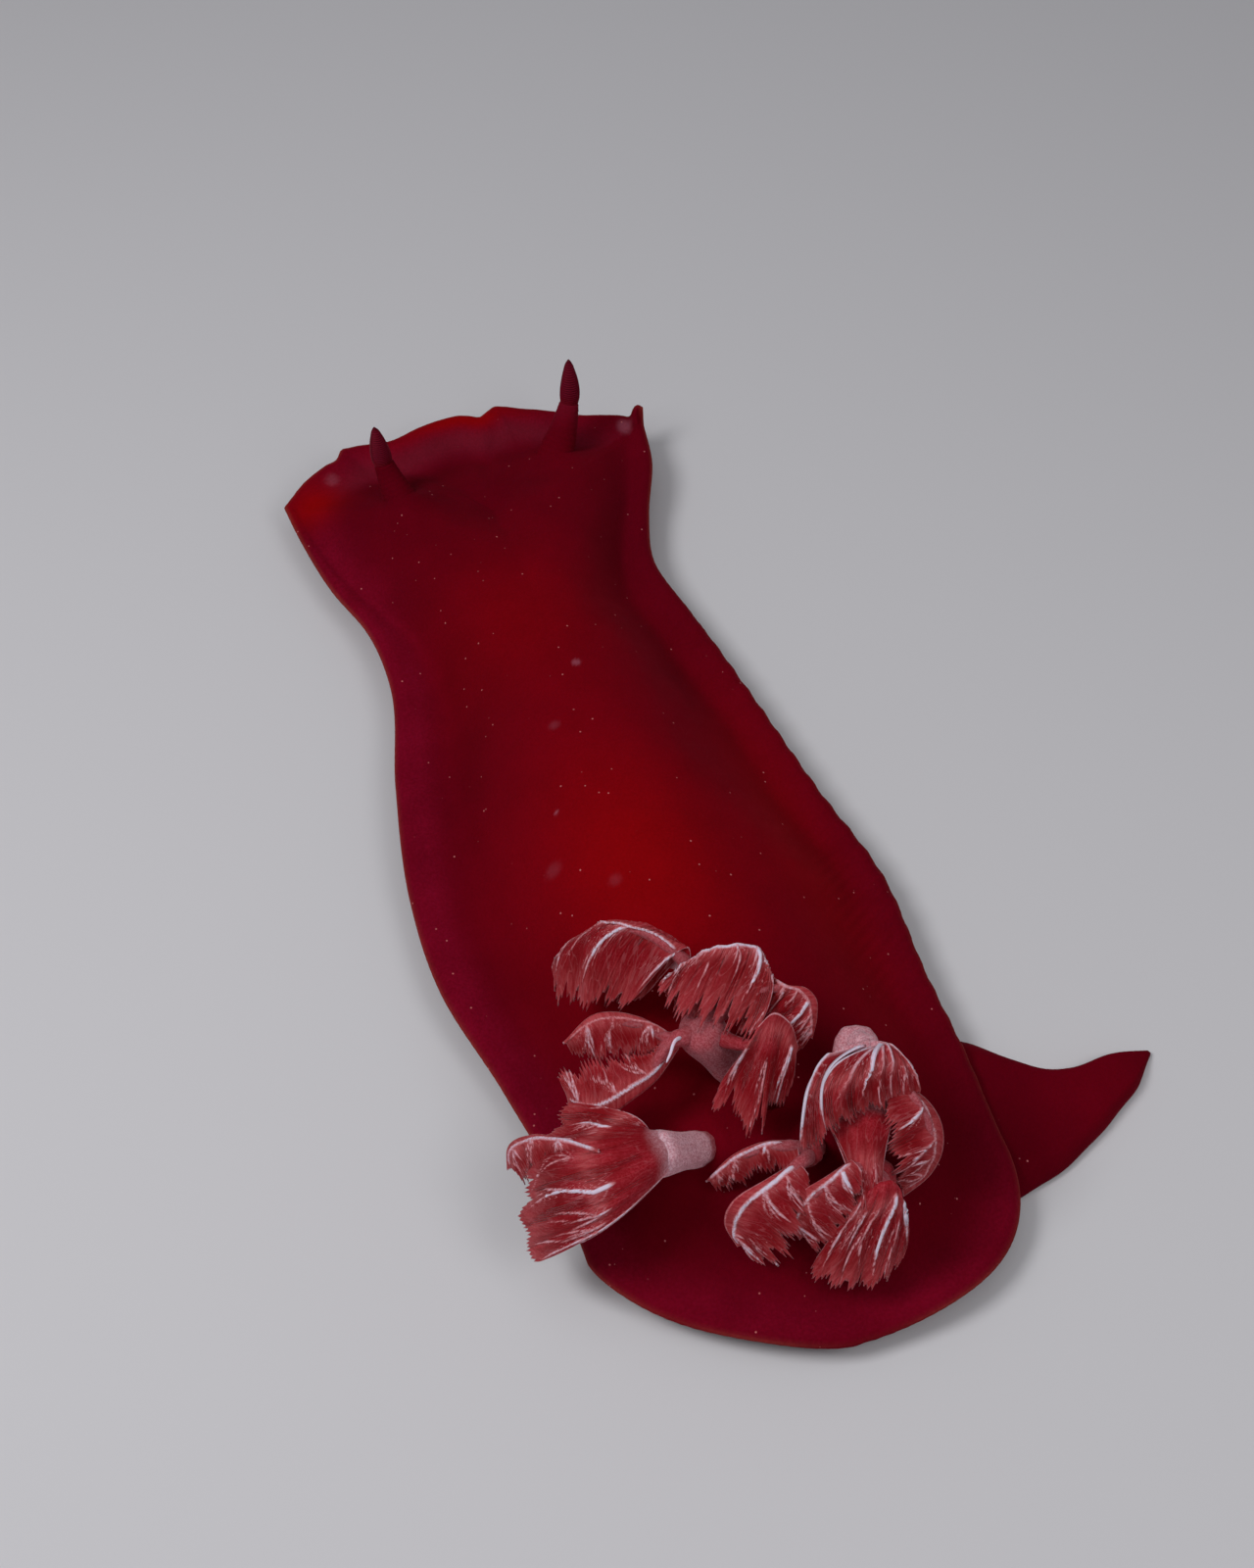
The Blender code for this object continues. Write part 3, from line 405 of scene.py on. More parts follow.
def quads(rows, columns, wrap=False):
    """Index quads between neighbouring rows and columns of a grid."""
    index = np.arange(rows * columns).reshape(rows, columns)
    if wrap:
        index = np.concatenate([index, index[:, :1]], axis=1)
    corners = (index[:-1, :-1], index[:-1, 1:], index[1:, 1:], index[1:, :-1])
    return np.stack(corners, -1).reshape(-1, 4)


def joined(shells):
    """One list of points, faces and marks from several of each."""
    points, faces, marks = zip(*shells)
    starts = np.cumsum([0] + [len(part) for part in points[:-1]])
    return (np.concatenate(points),
            np.concatenate([part + start for part, start in zip(faces, starts)]),
            {name: np.concatenate([part[name] for part in marks]) for name in marks[0]})


def sheet_shell(middle, half, marks):
    """Closed thin shell round a grid of points: the grid moved half a thickness
    both ways along its own normals, with a wall round its edge."""
    rows, columns = middle.shape[:2]
    aside = facing(middle) * half[..., None]
    index = np.arange(rows * columns).reshape(rows, columns)
    loop = np.concatenate([index[0, :-1], index[:-1, -1], index[-1, :0:-1], index[:0:-1, 0]])
    after = np.roll(loop, -1)
    under = rows * columns
    wall = np.stack([loop, after, after + under, loop + under], -1)
    faces = quads(rows, columns)
    faces = np.concatenate([faces, faces[:, ::-1] + under, wall])
    points = np.concatenate([middle + aside, middle - aside]).reshape(-1, 3)
    return points, faces, {name: np.tile(np.broadcast_to(values, (rows, columns)).ravel(), 2)
                           for name, values in marks.items()}


def ring_shell(rings, marks):
    """Closed shell through rings of points.  Each end closes on its middle.  A mark
    is one value, a row or a column of them, or a value a point."""
    shape = rings.shape[:2]
    rings = np.concatenate([rings[:1], rings, rings[-1:]])
    for end in (0, -1):
        rings[end] = rings[end].mean(axis=0)
    wide = {}
    for name, values in marks.items():
        values = np.broadcast_to(values, shape)
        wide[name] = np.concatenate([values[:1], values, values[-1:]]).ravel()
    return rings.reshape(-1, 3), quads(len(rings), shape[1], wrap=True), wide


def tube_shell(line, radii, marks):
    """Closed shell of circles square to a line, with a row of radii at each of the
    line's points."""
    along = unit(np.gradient(line, axis=0))
    side = unit(np.cross(along, UP))
    over = np.cross(side, along)
    turn = turns(radii.shape[1])[None, :, None]
    circle = np.cos(turn) * side[:, None] + np.sin(turn) * over[:, None]
    return ring_shell(line[:, None] + radii[..., None] * circle, marks)


def weld(data, reach, repair=False):
    """Makes points one that are nearer than this.  A repair also takes out faces
    without area and turns all faces outward."""
    mesh = bmesh.new()
    mesh.from_mesh(data)
    bmesh.ops.remove_doubles(mesh, verts=mesh.verts, dist=reach)
    if repair:
        bmesh.ops.dissolve_degenerate(mesh, edges=mesh.edges, dist=reach)
        bmesh.ops.recalc_face_normals(mesh, faces=mesh.faces)
    mesh.to_mesh(data)
    mesh.free()
    data.shade_smooth()


def add_marks(data, marks):
    """Marks as attributes of a mesh's points."""
    for name, values in marks.items():
        mark = data.attributes.new(name, "FLOAT", "POINT")
        mark.data.foreach_set("value", np.float32(values))


def added(name, data):
    """New object of the scene with this mesh, lamp or lens."""
    made = bpy.data.objects.new(name, data)
    bpy.context.scene.collection.objects.link(made)
    return made


def mesh_object(name, points, faces, marks):
    """Object from a shell, with its place in its mesh."""
    data = bpy.data.meshes.new(name)
    data.from_pydata((points * MM).tolist(), [], faces.tolist())
    add_marks(data, marks)
    weld(data, WELD, repair=True)
    return added(name, data)


def read(items, name, width=3, kind=float):
    """One property of all of a mesh's points or edges, as rows of numbers."""
    flat = np.empty(len(items) * width, kind)
    items.foreach_get(name, flat)
    return flat.reshape(-1, width)


def eased(values, edges, weight, rounds):
    """Each value drawn to the mean of its neighbours by its weight, repeated."""
    count = np.bincount(edges.ravel(), minlength=len(values))
    for _ in range(rounds):
        total = np.bincount(edges[:, 0], values[edges[:, 1]], len(values))
        total += np.bincount(edges[:, 1], values[edges[:, 0]], len(values))
        values = values + weight * (total / count - values)
    return values


# ------------ mantle

def station(lap):
    """Station along the body that a lap on its side belongs to."""
    part = (np.abs(lap) - LAP_CORNER) / (LAP_REAR - LAP_CORNER)
    return STATION_Y[0] + (STATION_Y[-1] - STATION_Y[0]) * np.clip(part, 0, 1)


def by_side(lap, left, right):
    """Value at a lap, from the left side's table or the right side's."""
    y = station(lap)
    return np.where(lap >= 0, smooth(y, STATION_Y, left), smooth(y, STATION_Y, right))


def rim(lap):
    """Outline of the mantle: front edge, two sides, then the rounded rear."""
    part = np.abs(lap)
    left = lap >= 0
    corner_x = np.where(left, FRONT_X[-1], FRONT_X[0])
    front_x = FRONT_MIDDLE_X + (corner_x - FRONT_MIDDLE_X) * part / LAP_CORNER
    front_y = STATION_Y[0] - smooth(front_x, FRONT_X, FRONT_BULGE)
    side_x = by_side(lap, LEFT_HALF_WIDTH, RIGHT_HALF_WIDTH) * np.where(left, 1, -1)
    turn = np.clip((part - LAP_REAR) / (1 - LAP_REAR), 0, 1) * np.pi / 2
    power = np.where(left, REAR_POWER_LEFT, REAR_POWER_RIGHT)
    half = np.where(left, LEFT_HALF_WIDTH[-1], -RIGHT_HALF_WIDTH[-1]) - REAR_MIDDLE_X
    rear_x = REAR_MIDDLE_X + half * np.abs(np.cos(turn)) ** (2 / power)
    rear_y = STATION_Y[-1] + REAR_LENGTH * np.sin(turn) ** (2 / power)
    zones = (part < LAP_CORNER, part < LAP_REAR)
    return (np.select(zones, (front_x, side_x), rear_x),
            np.select(zones, (front_y, station(lap)), rear_y))


def ridge(lap):
    """Point of the back's ridge from which a lap's line runs out to the rim."""
    part = (np.abs(lap) - RIDGE_LAPS[0]) / (RIDGE_LAPS[1] - RIDGE_LAPS[0])
    y = RIDGE_Y[0] + (RIDGE_Y[-1] - RIDGE_Y[0]) * np.clip(part, 0, 1)
    return smooth(y, RIDGE_Y, RIDGE_X), y


def skirt_width(lap):
    """Width of the thin outer margin, which is the veil at the front."""
    corner = np.where(lap >= 0, LEFT_SKIRT_WIDTH[0], RIGHT_SKIRT_WIDTH[0])
    inward = np.clip(1 - np.abs(lap) / LAP_CORNER, 0, 1)
    veil = corner + (VEIL_WIDTH - corner) * np.sin(inward * np.pi / 2) ** 0.8
    return np.where(np.abs(lap) < LAP_CORNER, veil,
                    by_side(lap, LEFT_SKIRT_WIDTH, RIGHT_SKIRT_WIDTH))


def rim_run(laps):
    """Millimetres of outline from the first of these laps to each of them."""
    x, y = rim(laps)
    return np.concatenate([[0], np.cumsum(np.hypot(np.diff(x), np.diff(y)))])


def even_laps(count):
    """Laps round the whole outline.  Those of each side are the other's with their
    sign changed, evenly spaced along the two sides together."""
    dense = np.linspace(0, 1, 6001)
    run = rim_run(dense) + rim_run(-dense)
    half = np.interp(np.linspace(0, run[-1], count), run, dense)
    return np.concatenate([half, -half[-2:0:-1]])


def mantle_shell():
    """Closed shell: a profile carried round the outline.  It falls as a dome from
    the ridge to the valley, rises to the rim, turns round it in a half circle and
    comes back flat under the belly."""
    lap = even_laps(LAPS_HALF)[None, :]
    ridge_x, ridge_y = ridge(lap)
    rim_x, rim_y = rim(lap)
    length = np.hypot(rim_x - ridge_x, rim_y - ridge_y)
    edge = 1 - skirt_width(lap) / length
    last = 1 - RIM_RADIUS / length
    valley = smooth(lap, EDGE_LAP, VALLEY_HEIGHT)
    rim_height = smooth(lap, EDGE_LAP, RIM_HEIGHT)

    reach = np.linspace(0, 1, TOP_ROWS)[:, None] * last
    dome = (1 - np.clip(reach / edge, 0, 1) ** 2.3) ** 1.15
    outward = np.clip((reach - edge) / (1 - edge), 0, 1)
    top = valley + (smooth(ridge_y, BACK_Y, BACK_HEIGHT) - valley) * dome
    top = top + (rim_height - valley) * np.sin(outward * np.pi / 2)

    turn = np.radians([60, 30, 0, -30, -60])[:, None]
    turn_reach = last + RIM_RADIUS * np.cos(turn) / length
    turn_height = top[-1:] - RIM_RADIUS + RIM_RADIUS * np.sin(turn)

    under_reach = np.linspace(1, 0, UNDER_ROWS)[:, None] ** 0.8 * last
    outward = np.clip((under_reach - edge) / (1 - edge), 0, 1)
    lip = top[-1:] - 2 * RIM_RADIUS
    under = BELLY_HEIGHT + (lip - BELLY_HEIGHT) * outward ** 1.2

    reach = np.concatenate([reach, turn_reach, under_reach])
    height = np.concatenate([top, turn_height, under])
    points = np.stack([ridge_x + (rim_x - ridge_x) * reach,
                       ridge_y + (rim_y - ridge_y) * reach, height], -1)
    upper = np.repeat((1, 0.5, 0), (len(top), len(turn), len(under)))
    upper = np.broadcast_to(upper[:, None], reach.shape)
    return points.reshape(-1, 3), quads(*reach.shape, wrap=True), {"upper": upper.ravel()}


def nearest_rim(points):
    """Distance of each point from the outline in plan, and the outline's lap there."""
    laps = even_laps(700)
    outline = np.stack(rim(laps), -1)
    distance = np.empty(len(points))
    lap = np.empty(len(points))
    for start in range(0, len(points), 8000):
        part = slice(start, start + 8000)
        square = ((points[part, None, :2] - outline[None]) ** 2).sum(axis=2)
        near = square.argmin(axis=1)
        distance[part] = np.sqrt(square[np.arange(len(near)), near])
        lap[part] = laps[near]
    return distance, lap


def run_along_rim(lap):
    """Millimetres along the outline from the middle of the front edge."""
    dense = np.linspace(-1, 1, 8001)
    run = rim_run(dense)
    return np.interp(lap, dense, run - run[len(run) // 2])


def mantle_relief(x, y, margin, lap):
    """Height added to the upper side: cones under the rhinophores, lips round the
    gill stalks, wrinkles by the right margin and a soft unevenness."""
    rise = 0.35 * swell(x, y, 26, 3) + 0.1 * swell(x, y, 7, 5)
    rise *= step(margin, 1, 12)
    for base, *_ in RHINOPHORES.values():
        rise += 3.4 * bell(np.hypot(x - base[0], y - base[1]), 7)
    for base, _, radius, *_ in STALKS.values():
        away = np.hypot(x - base[0], y - base[1])
        rise += 0.35 * bell(away - radius - 1.1, 1.3) - 1.0 * bell(away, radius * 0.8)
    creased = window(-lap, 0.5, 0.6, 0.66, 0.74) * bell(margin - 8, 9)
    heading = np.radians(68)
    course = x * np.cos(heading) - y * np.sin(heading) + 0.018 * (x + 55) ** 2
    return rise + 0.35 * creased * np.sin(2 * np.pi * course / 3.1)


def margin_waves(margin, lap):
    """Height added to both sides of the thin margin: slow waves round the rim, a
    finer crimp on the right side, an edge that turns down, a nub and a fold."""
    run = run_along_rim(lap)
    loose = np.clip(1 - margin / 16, 0, 1) ** 1.5
    right = window(-lap, 0.3, 0.42, 0.72, 0.8)
    left = window(lap, 0.16, 0.24, 0.74, 0.82)
    waves = 0.55 * np.sin(run / 6.1 + 0.8) * (1 - right) * (1 - left)
    waves += left * 0.5 * np.sin(run / 9) + right * 0.4 * np.sin(2 * np.pi * run / 8.3 + 1.1)
    turned = -1.5 * np.clip(1 - margin / 3.4, 0, 1) ** 2
    turned = turned * (1 - 0.6 * step(0.14 - np.abs(lap), 0, 0.02))
    nub = 5.8 * bell((run - run_along_rim(NUB_LAP)) ** 2, 4.2) * np.clip(1 - margin / 6, 0, 1)
    fold_lap = LAP_CORNER * (FOLD_X - FRONT_MIDDLE_X) / (FRONT_MIDDLE_X - FRONT_X[0])
    fold = 1.1 * window(run_along_rim(fold_lap) - run, -0.5, 2.5, 5, 16) * loose
    return waves * loose + turned + nub + fold


def build_mantle():
    """Mantle shell with its kinks eased and its relief laid on."""
    mantle = mesh_object("skin", *mantle_shell())
    data = mantle.data
    points = read(data.vertices, "co") / MM
    margin, lap = nearest_rim(points)
    top = read(data.attributes["upper"].data, "value", 1)[:, 0] > 0.9
    edges = read(data.edges, "vertices", 2, np.int64)
    weight = np.where(top, 0.5 * step(margin, 3, 9), 0)
    points[:, 2] = eased(points[:, 2], edges, weight, 40)
    relief = mantle_relief(points[:, 0], points[:, 1], margin, lap)
    carried = np.where(top, 1, 1 - step(margin, 5, 15))
    points[:, 2] += np.where(top, relief, 0) + carried * margin_waves(margin, lap)
    data.vertices.foreach_set("co", np.float32(points * MM).ravel())
    data.update()
    return mantle


# ------------ foot, head and feelers

def foot_shell():
    """Rings down the foot's middle line: a flat sole, a thin edge, an arched
    upper side, and a middle that stands up into the belly."""
    at = np.linspace(0, 1, FOOT_ROWS)
    along = unit(through(FOOT_LINE, np.clip(at + 0.01, 0, 1))
                 - through(FOOT_LINE, np.clip(at - 0.01, 0, 1)))
    side = np.stack([along[:, 1], -along[:, 0]], -1)[:, None]
    line = through(FOOT_LINE, at)[:, None]
    at = at[:, None]
    half = smooth(at, FOOT_AT, FOOT_HALF_WIDTH)
    height = smooth(at, FOOT_AT, FOOT_HEIGHT)
    share = np.linspace(0, 1, 21)
    across = smooth(share, SECTION_AT, SECTION_WIDTH)
    across = np.concatenate([across, -across[-2::-1]])
    up = np.clip(smooth(share, SECTION_AT, SECTION_HEIGHT), 0, 1)
    up = np.concatenate([up, up[-2::-1]])
    crimp = 1 + 0.018 * np.sin(at * 150) * (1 - up) * step(at, 0.1, 0.2)
    plan = line + side * (across * half * crimp)[..., None]
    inside = 1 - step(at, 0.66, 0.74)
    z = up * height
    z = z + 3.0 * inside * step(up, 0.93, 1.0) * step(0.55 - np.abs(across), 0, 0.3)
    sole = np.linspace(-SOLE_HALF_WIDTH, SOLE_HALF_WIDTH, 9) * half
    plan = np.concatenate([plan, line + side * sole[..., None]], 1)
    z = np.concatenate([z, np.zeros(sole.shape)], 1)
    return ring_shell(np.concatenate([plan, z[..., None]], -1), {})


def head_shell():
    """Flattened ellipsoid, dented along a lip line to make the mouth."""
    level = np.linspace(-1, 1, 41)[:, None] * np.pi / 2 * 0.98
    turn = turns(72)[None, :]
    flat = np.abs(np.cos(level)) ** 0.55
    x = HEAD_HALF_SIZE[0] * flat * np.cos(turn)
    y = HEAD_HALF_SIZE[1] * flat * np.sin(turn)
    z = HEAD_HALF_SIZE[2] * np.sin(level) + 0 * turn
    lips = 2.6 * bell(z + 0.4, 0.55) - 0.7 * bell(np.abs(z + 0.4) - 1.3, 0.7)
    y = y + step(-y, 2, 5) * bell(x, LIP_HALF_WIDTH) * lips
    return ring_shell(np.stack([x, y, z], -1) + HEAD_CENTRE, {})


def tentacle_shell(mirror):
    """Fan that spreads sideways from the mouth's corner.  Its outer edge is cut
    into lobes, and each lobe is grooved down its middle."""
    out = np.linspace(0, 1, 26)[:, None]
    fan = np.linspace(-1, 1, 73)[None, :]
    lobes = 1 - 0.24 * out**3 * np.cos(fan * 3.5 * np.pi) ** 2
    spread = TENTACLE_ROOT_SPREAD + (TENTACLE_SPREAD - TENTACLE_ROOT_SPREAD) * out**0.8
    spread = spread * fan
    reach = TENTACLE_LENGTH * out * lobes * np.cos(fan * 0.9) ** 0.6
    cosine, sine = np.cos(TENTACLE_HEADING), np.sin(TENTACLE_HEADING)
    x = TENTACLE_ROOT[0] + reach * cosine - 0.35 * spread * sine
    y = TENTACLE_ROOT[1] + reach * sine + 0.5 * spread * cosine
    z = TENTACLE_ROOT[2] + 0.9 * out + 0.45 * out * np.cos(fan * 7 * np.pi)
    z = z + 0.3 * out * np.sin(fan * 4)
    half = 1.3 * (1 - 0.72 * out) * (1 - 0.35 * np.abs(fan))
    return sheet_shell(np.stack([mirror * x, y, z], -1), half, {})


def rhinophore_line(side, at):
    """Points on the rhinophore's curved axis: 0 is the foot of its stalk and 1 its
    tip.  Below 0 the axis runs straight on, down into the back."""
    line = through(RHINOPHORES[side], np.clip(at, 0, 1))
    foot = through(RHINOPHORES[side], np.array([0, 0.02]))
    return line + np.minimum(at, 0)[:, None] * (foot[1] - foot[0]) / 0.02


def club_share(side):
    """Share of the axis at which the club starts."""
    run = run_down(np.array(RHINOPHORES[side]))
    return run[1] / run[2]


def stalk_shell(side):
    """Round stalk that widens downward into a soft cone, rooted below the skin."""
    end = club_share(side)
    at = np.linspace(-0.18, end + 0.04, 60)
    share = np.clip(at / end, 0, 1)
    radius = STALK_RADIUS + STALK_FLARE * (1 - share) ** 1.1
    radius = radius * (1 - 0.5 * step(at, end - 0.01, end + 0.04))
    line = rhinophore_line(side, at)
    at = at[:, None]
    rings = 0.012 * np.sin(at * 120) + 0.02 * np.sin(3 * turns(TUBE_SIDES) + at * 12)
    return tube_shell(line, radius[:, None] * (1 + rings), {})


def papilla_shell():
    """Short tube whose lip is drawn into eight lobes, with a sunk middle."""
    share = np.linspace(0, 1, 50)
    knots = np.linspace(0, 1, len(PAPILLA_HEIGHT))
    radius = smooth(share, knots, PAPILLA_RADIUS * np.array(PAPILLA_SHAPE))
    line = np.stack([0.02 * share, 0 * share, smooth(share, knots, PAPILLA_HEIGHT)], -1)
    turn = turns(TUBE_SIDES)
    lobes = 1 + 0.1 * np.cos(8 * turn) * step(share, 0.35, 0.6)[:, None]
    around = np.stack([np.cos(turn), np.sin(turn), 0 * turn], -1)
    rings = (line + PAPILLA_BASE)[:, None] + (radius[:, None] * lobes)[..., None] * around
    return ring_shell(rings, {})


def build_skin():
    """One closed skin: mantle, foot, head, feelers, stalks and papilla united."""
    skin = build_mantle()
    shells = [foot_shell(), head_shell(), tentacle_shell(1), tentacle_shell(-1),
              stalk_shell("left"), stalk_shell("right"), papilla_shell()]
    helpers = [mesh_object(f"helper_{number}", *shell) for number, shell in enumerate(shells)]
    for helper in helpers:
        union = skin.modifiers.new(helper.name, "BOOLEAN")
        union.operation = "UNION"
        union.solver = "MANIFOLD"
        union.object = helper
    graph = bpy.context.evaluated_depsgraph_get()
    whole = bpy.data.meshes.new_from_object(skin.evaluated_get(graph), depsgraph=graph)
    skin.modifiers.clear()
    skin.data = whole
    for helper in helpers:
        bpy.data.objects.remove(helper, do_unlink=True)
    weld(whole, SKIN_WELD)
    whole.set_sharp_from_angle(angle=np.radians(70))
    add_marks(whole, skin_marks(whole))
    return skin


def skin_marks(data):
    """Marks for the skin's material, from each point's place: the back's scarlet,
    partly painted light, painted sheen on the margin and on the veil, painted shade on
    the right side, the rim's bright brink, light painted through the thin rim, and blotches."""
    points = read(data.vertices, "co") / MM
    margin, lap = nearest_rim(points)
    x, y, z = points.T
    up = step(read(data.vertices, "normal")[:, 2], -0.1, 0.35)
    on_mantle = step(z, 6.5, 8.5)
    # The back's scarlet: partly its own brighter tone, partly painted light, laid on upward faces
    # only and lifting the shaded right valley
    scarlet_tone_and_light = sum(power * bell(np.hypot((x - gx) / wide, (y - gy) / long), 1)
               for gx, gy, wide, long, power in SCARLET_TONE_AND_LIGHT)
    left = window(lap, 0.14, 0.22, 0.78, 0.86)
    right = window(-lap, 0.14, 0.22, 0.78, 0.86)
    front = step(0.15 - np.abs(lap), 0, 0.02)
    rear = step(np.abs(lap), 0.76, 0.86)
    corner = bell(np.hypot(x - 46, y + 131), 8)
    veil = front * (0.35 + 0.65 * step(x, -42, -24)) * (1 - corner)
    # Painted sheen: a pinkish haze on upward faces all round the rim, strongest on the left
    # margin, the veil and the rear
    margin_sheen = left * bell(margin - 4, 6) + 0.9 * veil * bell(margin - 7, 6)
    margin_sheen = (margin_sheen + (0.18 + 0.62 * rear) * bell(margin - 4, 6)) * up
    blotch = sum(power * step(radius * 1.3 - np.hypot(x - bx, y - by), 0, radius * 0.9)
                 for bx, by, radius, power in BLOTCHES)
    # Painted light: brighter scarlet where light would shine through the thin front rim and the
    # left front corner flap
    light_through_rim = bell(margin - 2, 3) * bell(x, 19) * front + corner * up
    return {"scarlet_tone_and_light": np.clip(scarlet_tone_and_light, 0, 1) * up, "margin_sheen": np.clip(margin_sheen * on_mantle, 0, 1),
            "blotch": blotch * up * on_mantle,
            "brink": bell(margin, 0.45) * on_mantle * (0.45 + 0.35 * front),
            # Painted sheen: a pinkish-purple haze across the veil
            "light_through_rim": light_through_rim * on_mantle, "veil_sheen": 0.6 * veil * bell(margin - 9, 4) * up * on_mantle,
            # Painted shade on the right margin, the side away from the key light
            "right_side_shade": 0.5 * right * bell(margin - 5, 8) * up * on_mantle}


def build_club(side):
    """Pointed club ringed by slanting leaves, which a smooth ridge parts in front
    and behind."""
    start = club_share(side) - 0.03
    share = np.linspace(0, 1, LAMELLA_COUNT * LAMELLA_ROWS)
    line = rhinophore_line(side, start + (1 - start) * share)
    share = share[:, None]
    aside = np.abs(np.sin(turns(TUBE_SIDES)))[None, :]
    tooth = 1 - np.abs(2 * ((share * LAMELLA_COUNT * 0.9 + 0.55 * aside) % 1) - 1) ** 1.6
    parted = np.clip(aside * 3.5, 0, 1)
    body = step(share, 0.05, 0.1) * (1 - step(share, 0.9, 0.97))
    radius = CLUB_RADIUS * smooth(share, CLUB_AT, CLUB_SHAPE)
    radius = radius * (1 - 0.17 * (1 - tooth) * body * parted)
    marks = {"leaf": tooth * body * parted, "tip": share}
    return mesh_object(f"rhinophore_{side}", *tube_shell(line, radius, marks))


# ------------ gills

def with_veins(ribs, count, top, draw):
    """A fan's main ribs as arrays, then its faint veins.  Each vein leaves a main
    rib part way down, turns off to one side and soon runs beside it."""
    ribs = np.array(ribs).T
    mother = draw.integers(0, ribs.shape[1], count)
    start = np.maximum(ribs[2, mother], top) + draw.uniform(-0.05, 0.6, count) * (0.9 - top)
    veins = np.stack([ribs[0, mother], draw.uniform(0.25, 0.6, count), start,
                      start + draw.uniform(0.35, 0.8, count) * (1 - top)])
    aside = draw.uniform(0.03, 0.13, count)
    aside *= np.where(ribs[0, mother] + draw.uniform(-0.5, 0.5, count) < 0.5, 1, -1)
    turn = np.concatenate([np.zeros(ribs.shape[1]), aside])
    return (*np.concatenate([ribs, veins], axis=1), turn)


def leaf_lines(fan, at):
    """Start, crest and fringe of each line down a leaf, and the share of the line at
    which it passes the crest."""
    crest = through(fan.crest, at)
    fringe = through(fan.fringe, at)
    if not fan.root:
        return crest - 0.2 * (fringe - crest) - 2.0 * UP, crest, fringe, 0.25
    root = through(fan.root, at) if len(fan.root) > 1 else np.array(fan.root)
    return root + 0.05 * (crest - root), crest, fringe, 0.5


def rib_pattern(fan, at, w, top, speed, count, draw):
    """How strongly a point shows a rib or vein, how close a main rib is, how far off
    the nearest one is and on which side, and how strongly that one shows there."""
    place, power, start, end, turn = with_veins(fan.ribs, count, top, draw)
    w = w[..., None]
    lean, bow, last_bow = fan.bend
    beyond = np.clip((w - top) / (1 - top), 0, 1)
    course = lean * beyond ** 1.5 + (bow + (last_bow - bow) * place) * np.sin(np.pi * beyond)
    course = course * np.sin(np.pi * np.clip(place, 0.08, 0.92))
    course = course + turn * (1 - np.exp(-np.clip(w - start, 0, 1) / VEIN_BEND))
    away = at[..., None] - place - course
    shown = step(w, start - 0.03, start + 0.06) * (1 - step(w, end - 0.25, end))
    slim = (0.3 + 0.7 * power) * (0.4 + 0.6 * (1 - step(w, start + 0.1, end)))
    across = np.maximum(RIB_HALF_WIDTH * slim, VEIN_HALF_WIDTH)
    ribs = bell(away * speed[..., None], across) * shown * (0.2 + 0.8 * np.minimum(power, 1))
    mains = len(fan.ribs)
    away = away[..., :mains]
    mound = bell(away / max(0.06, 0.45 / mains), 1).max(axis=2)
    nearest = np.abs(away).argmin(axis=2)[..., None]
    offside = np.take_along_axis(away, nearest, 2)[..., 0] * speed
    return ribs.max(axis=2), mound, offside, np.take_along_axis(shown, nearest, 2)[..., 0]


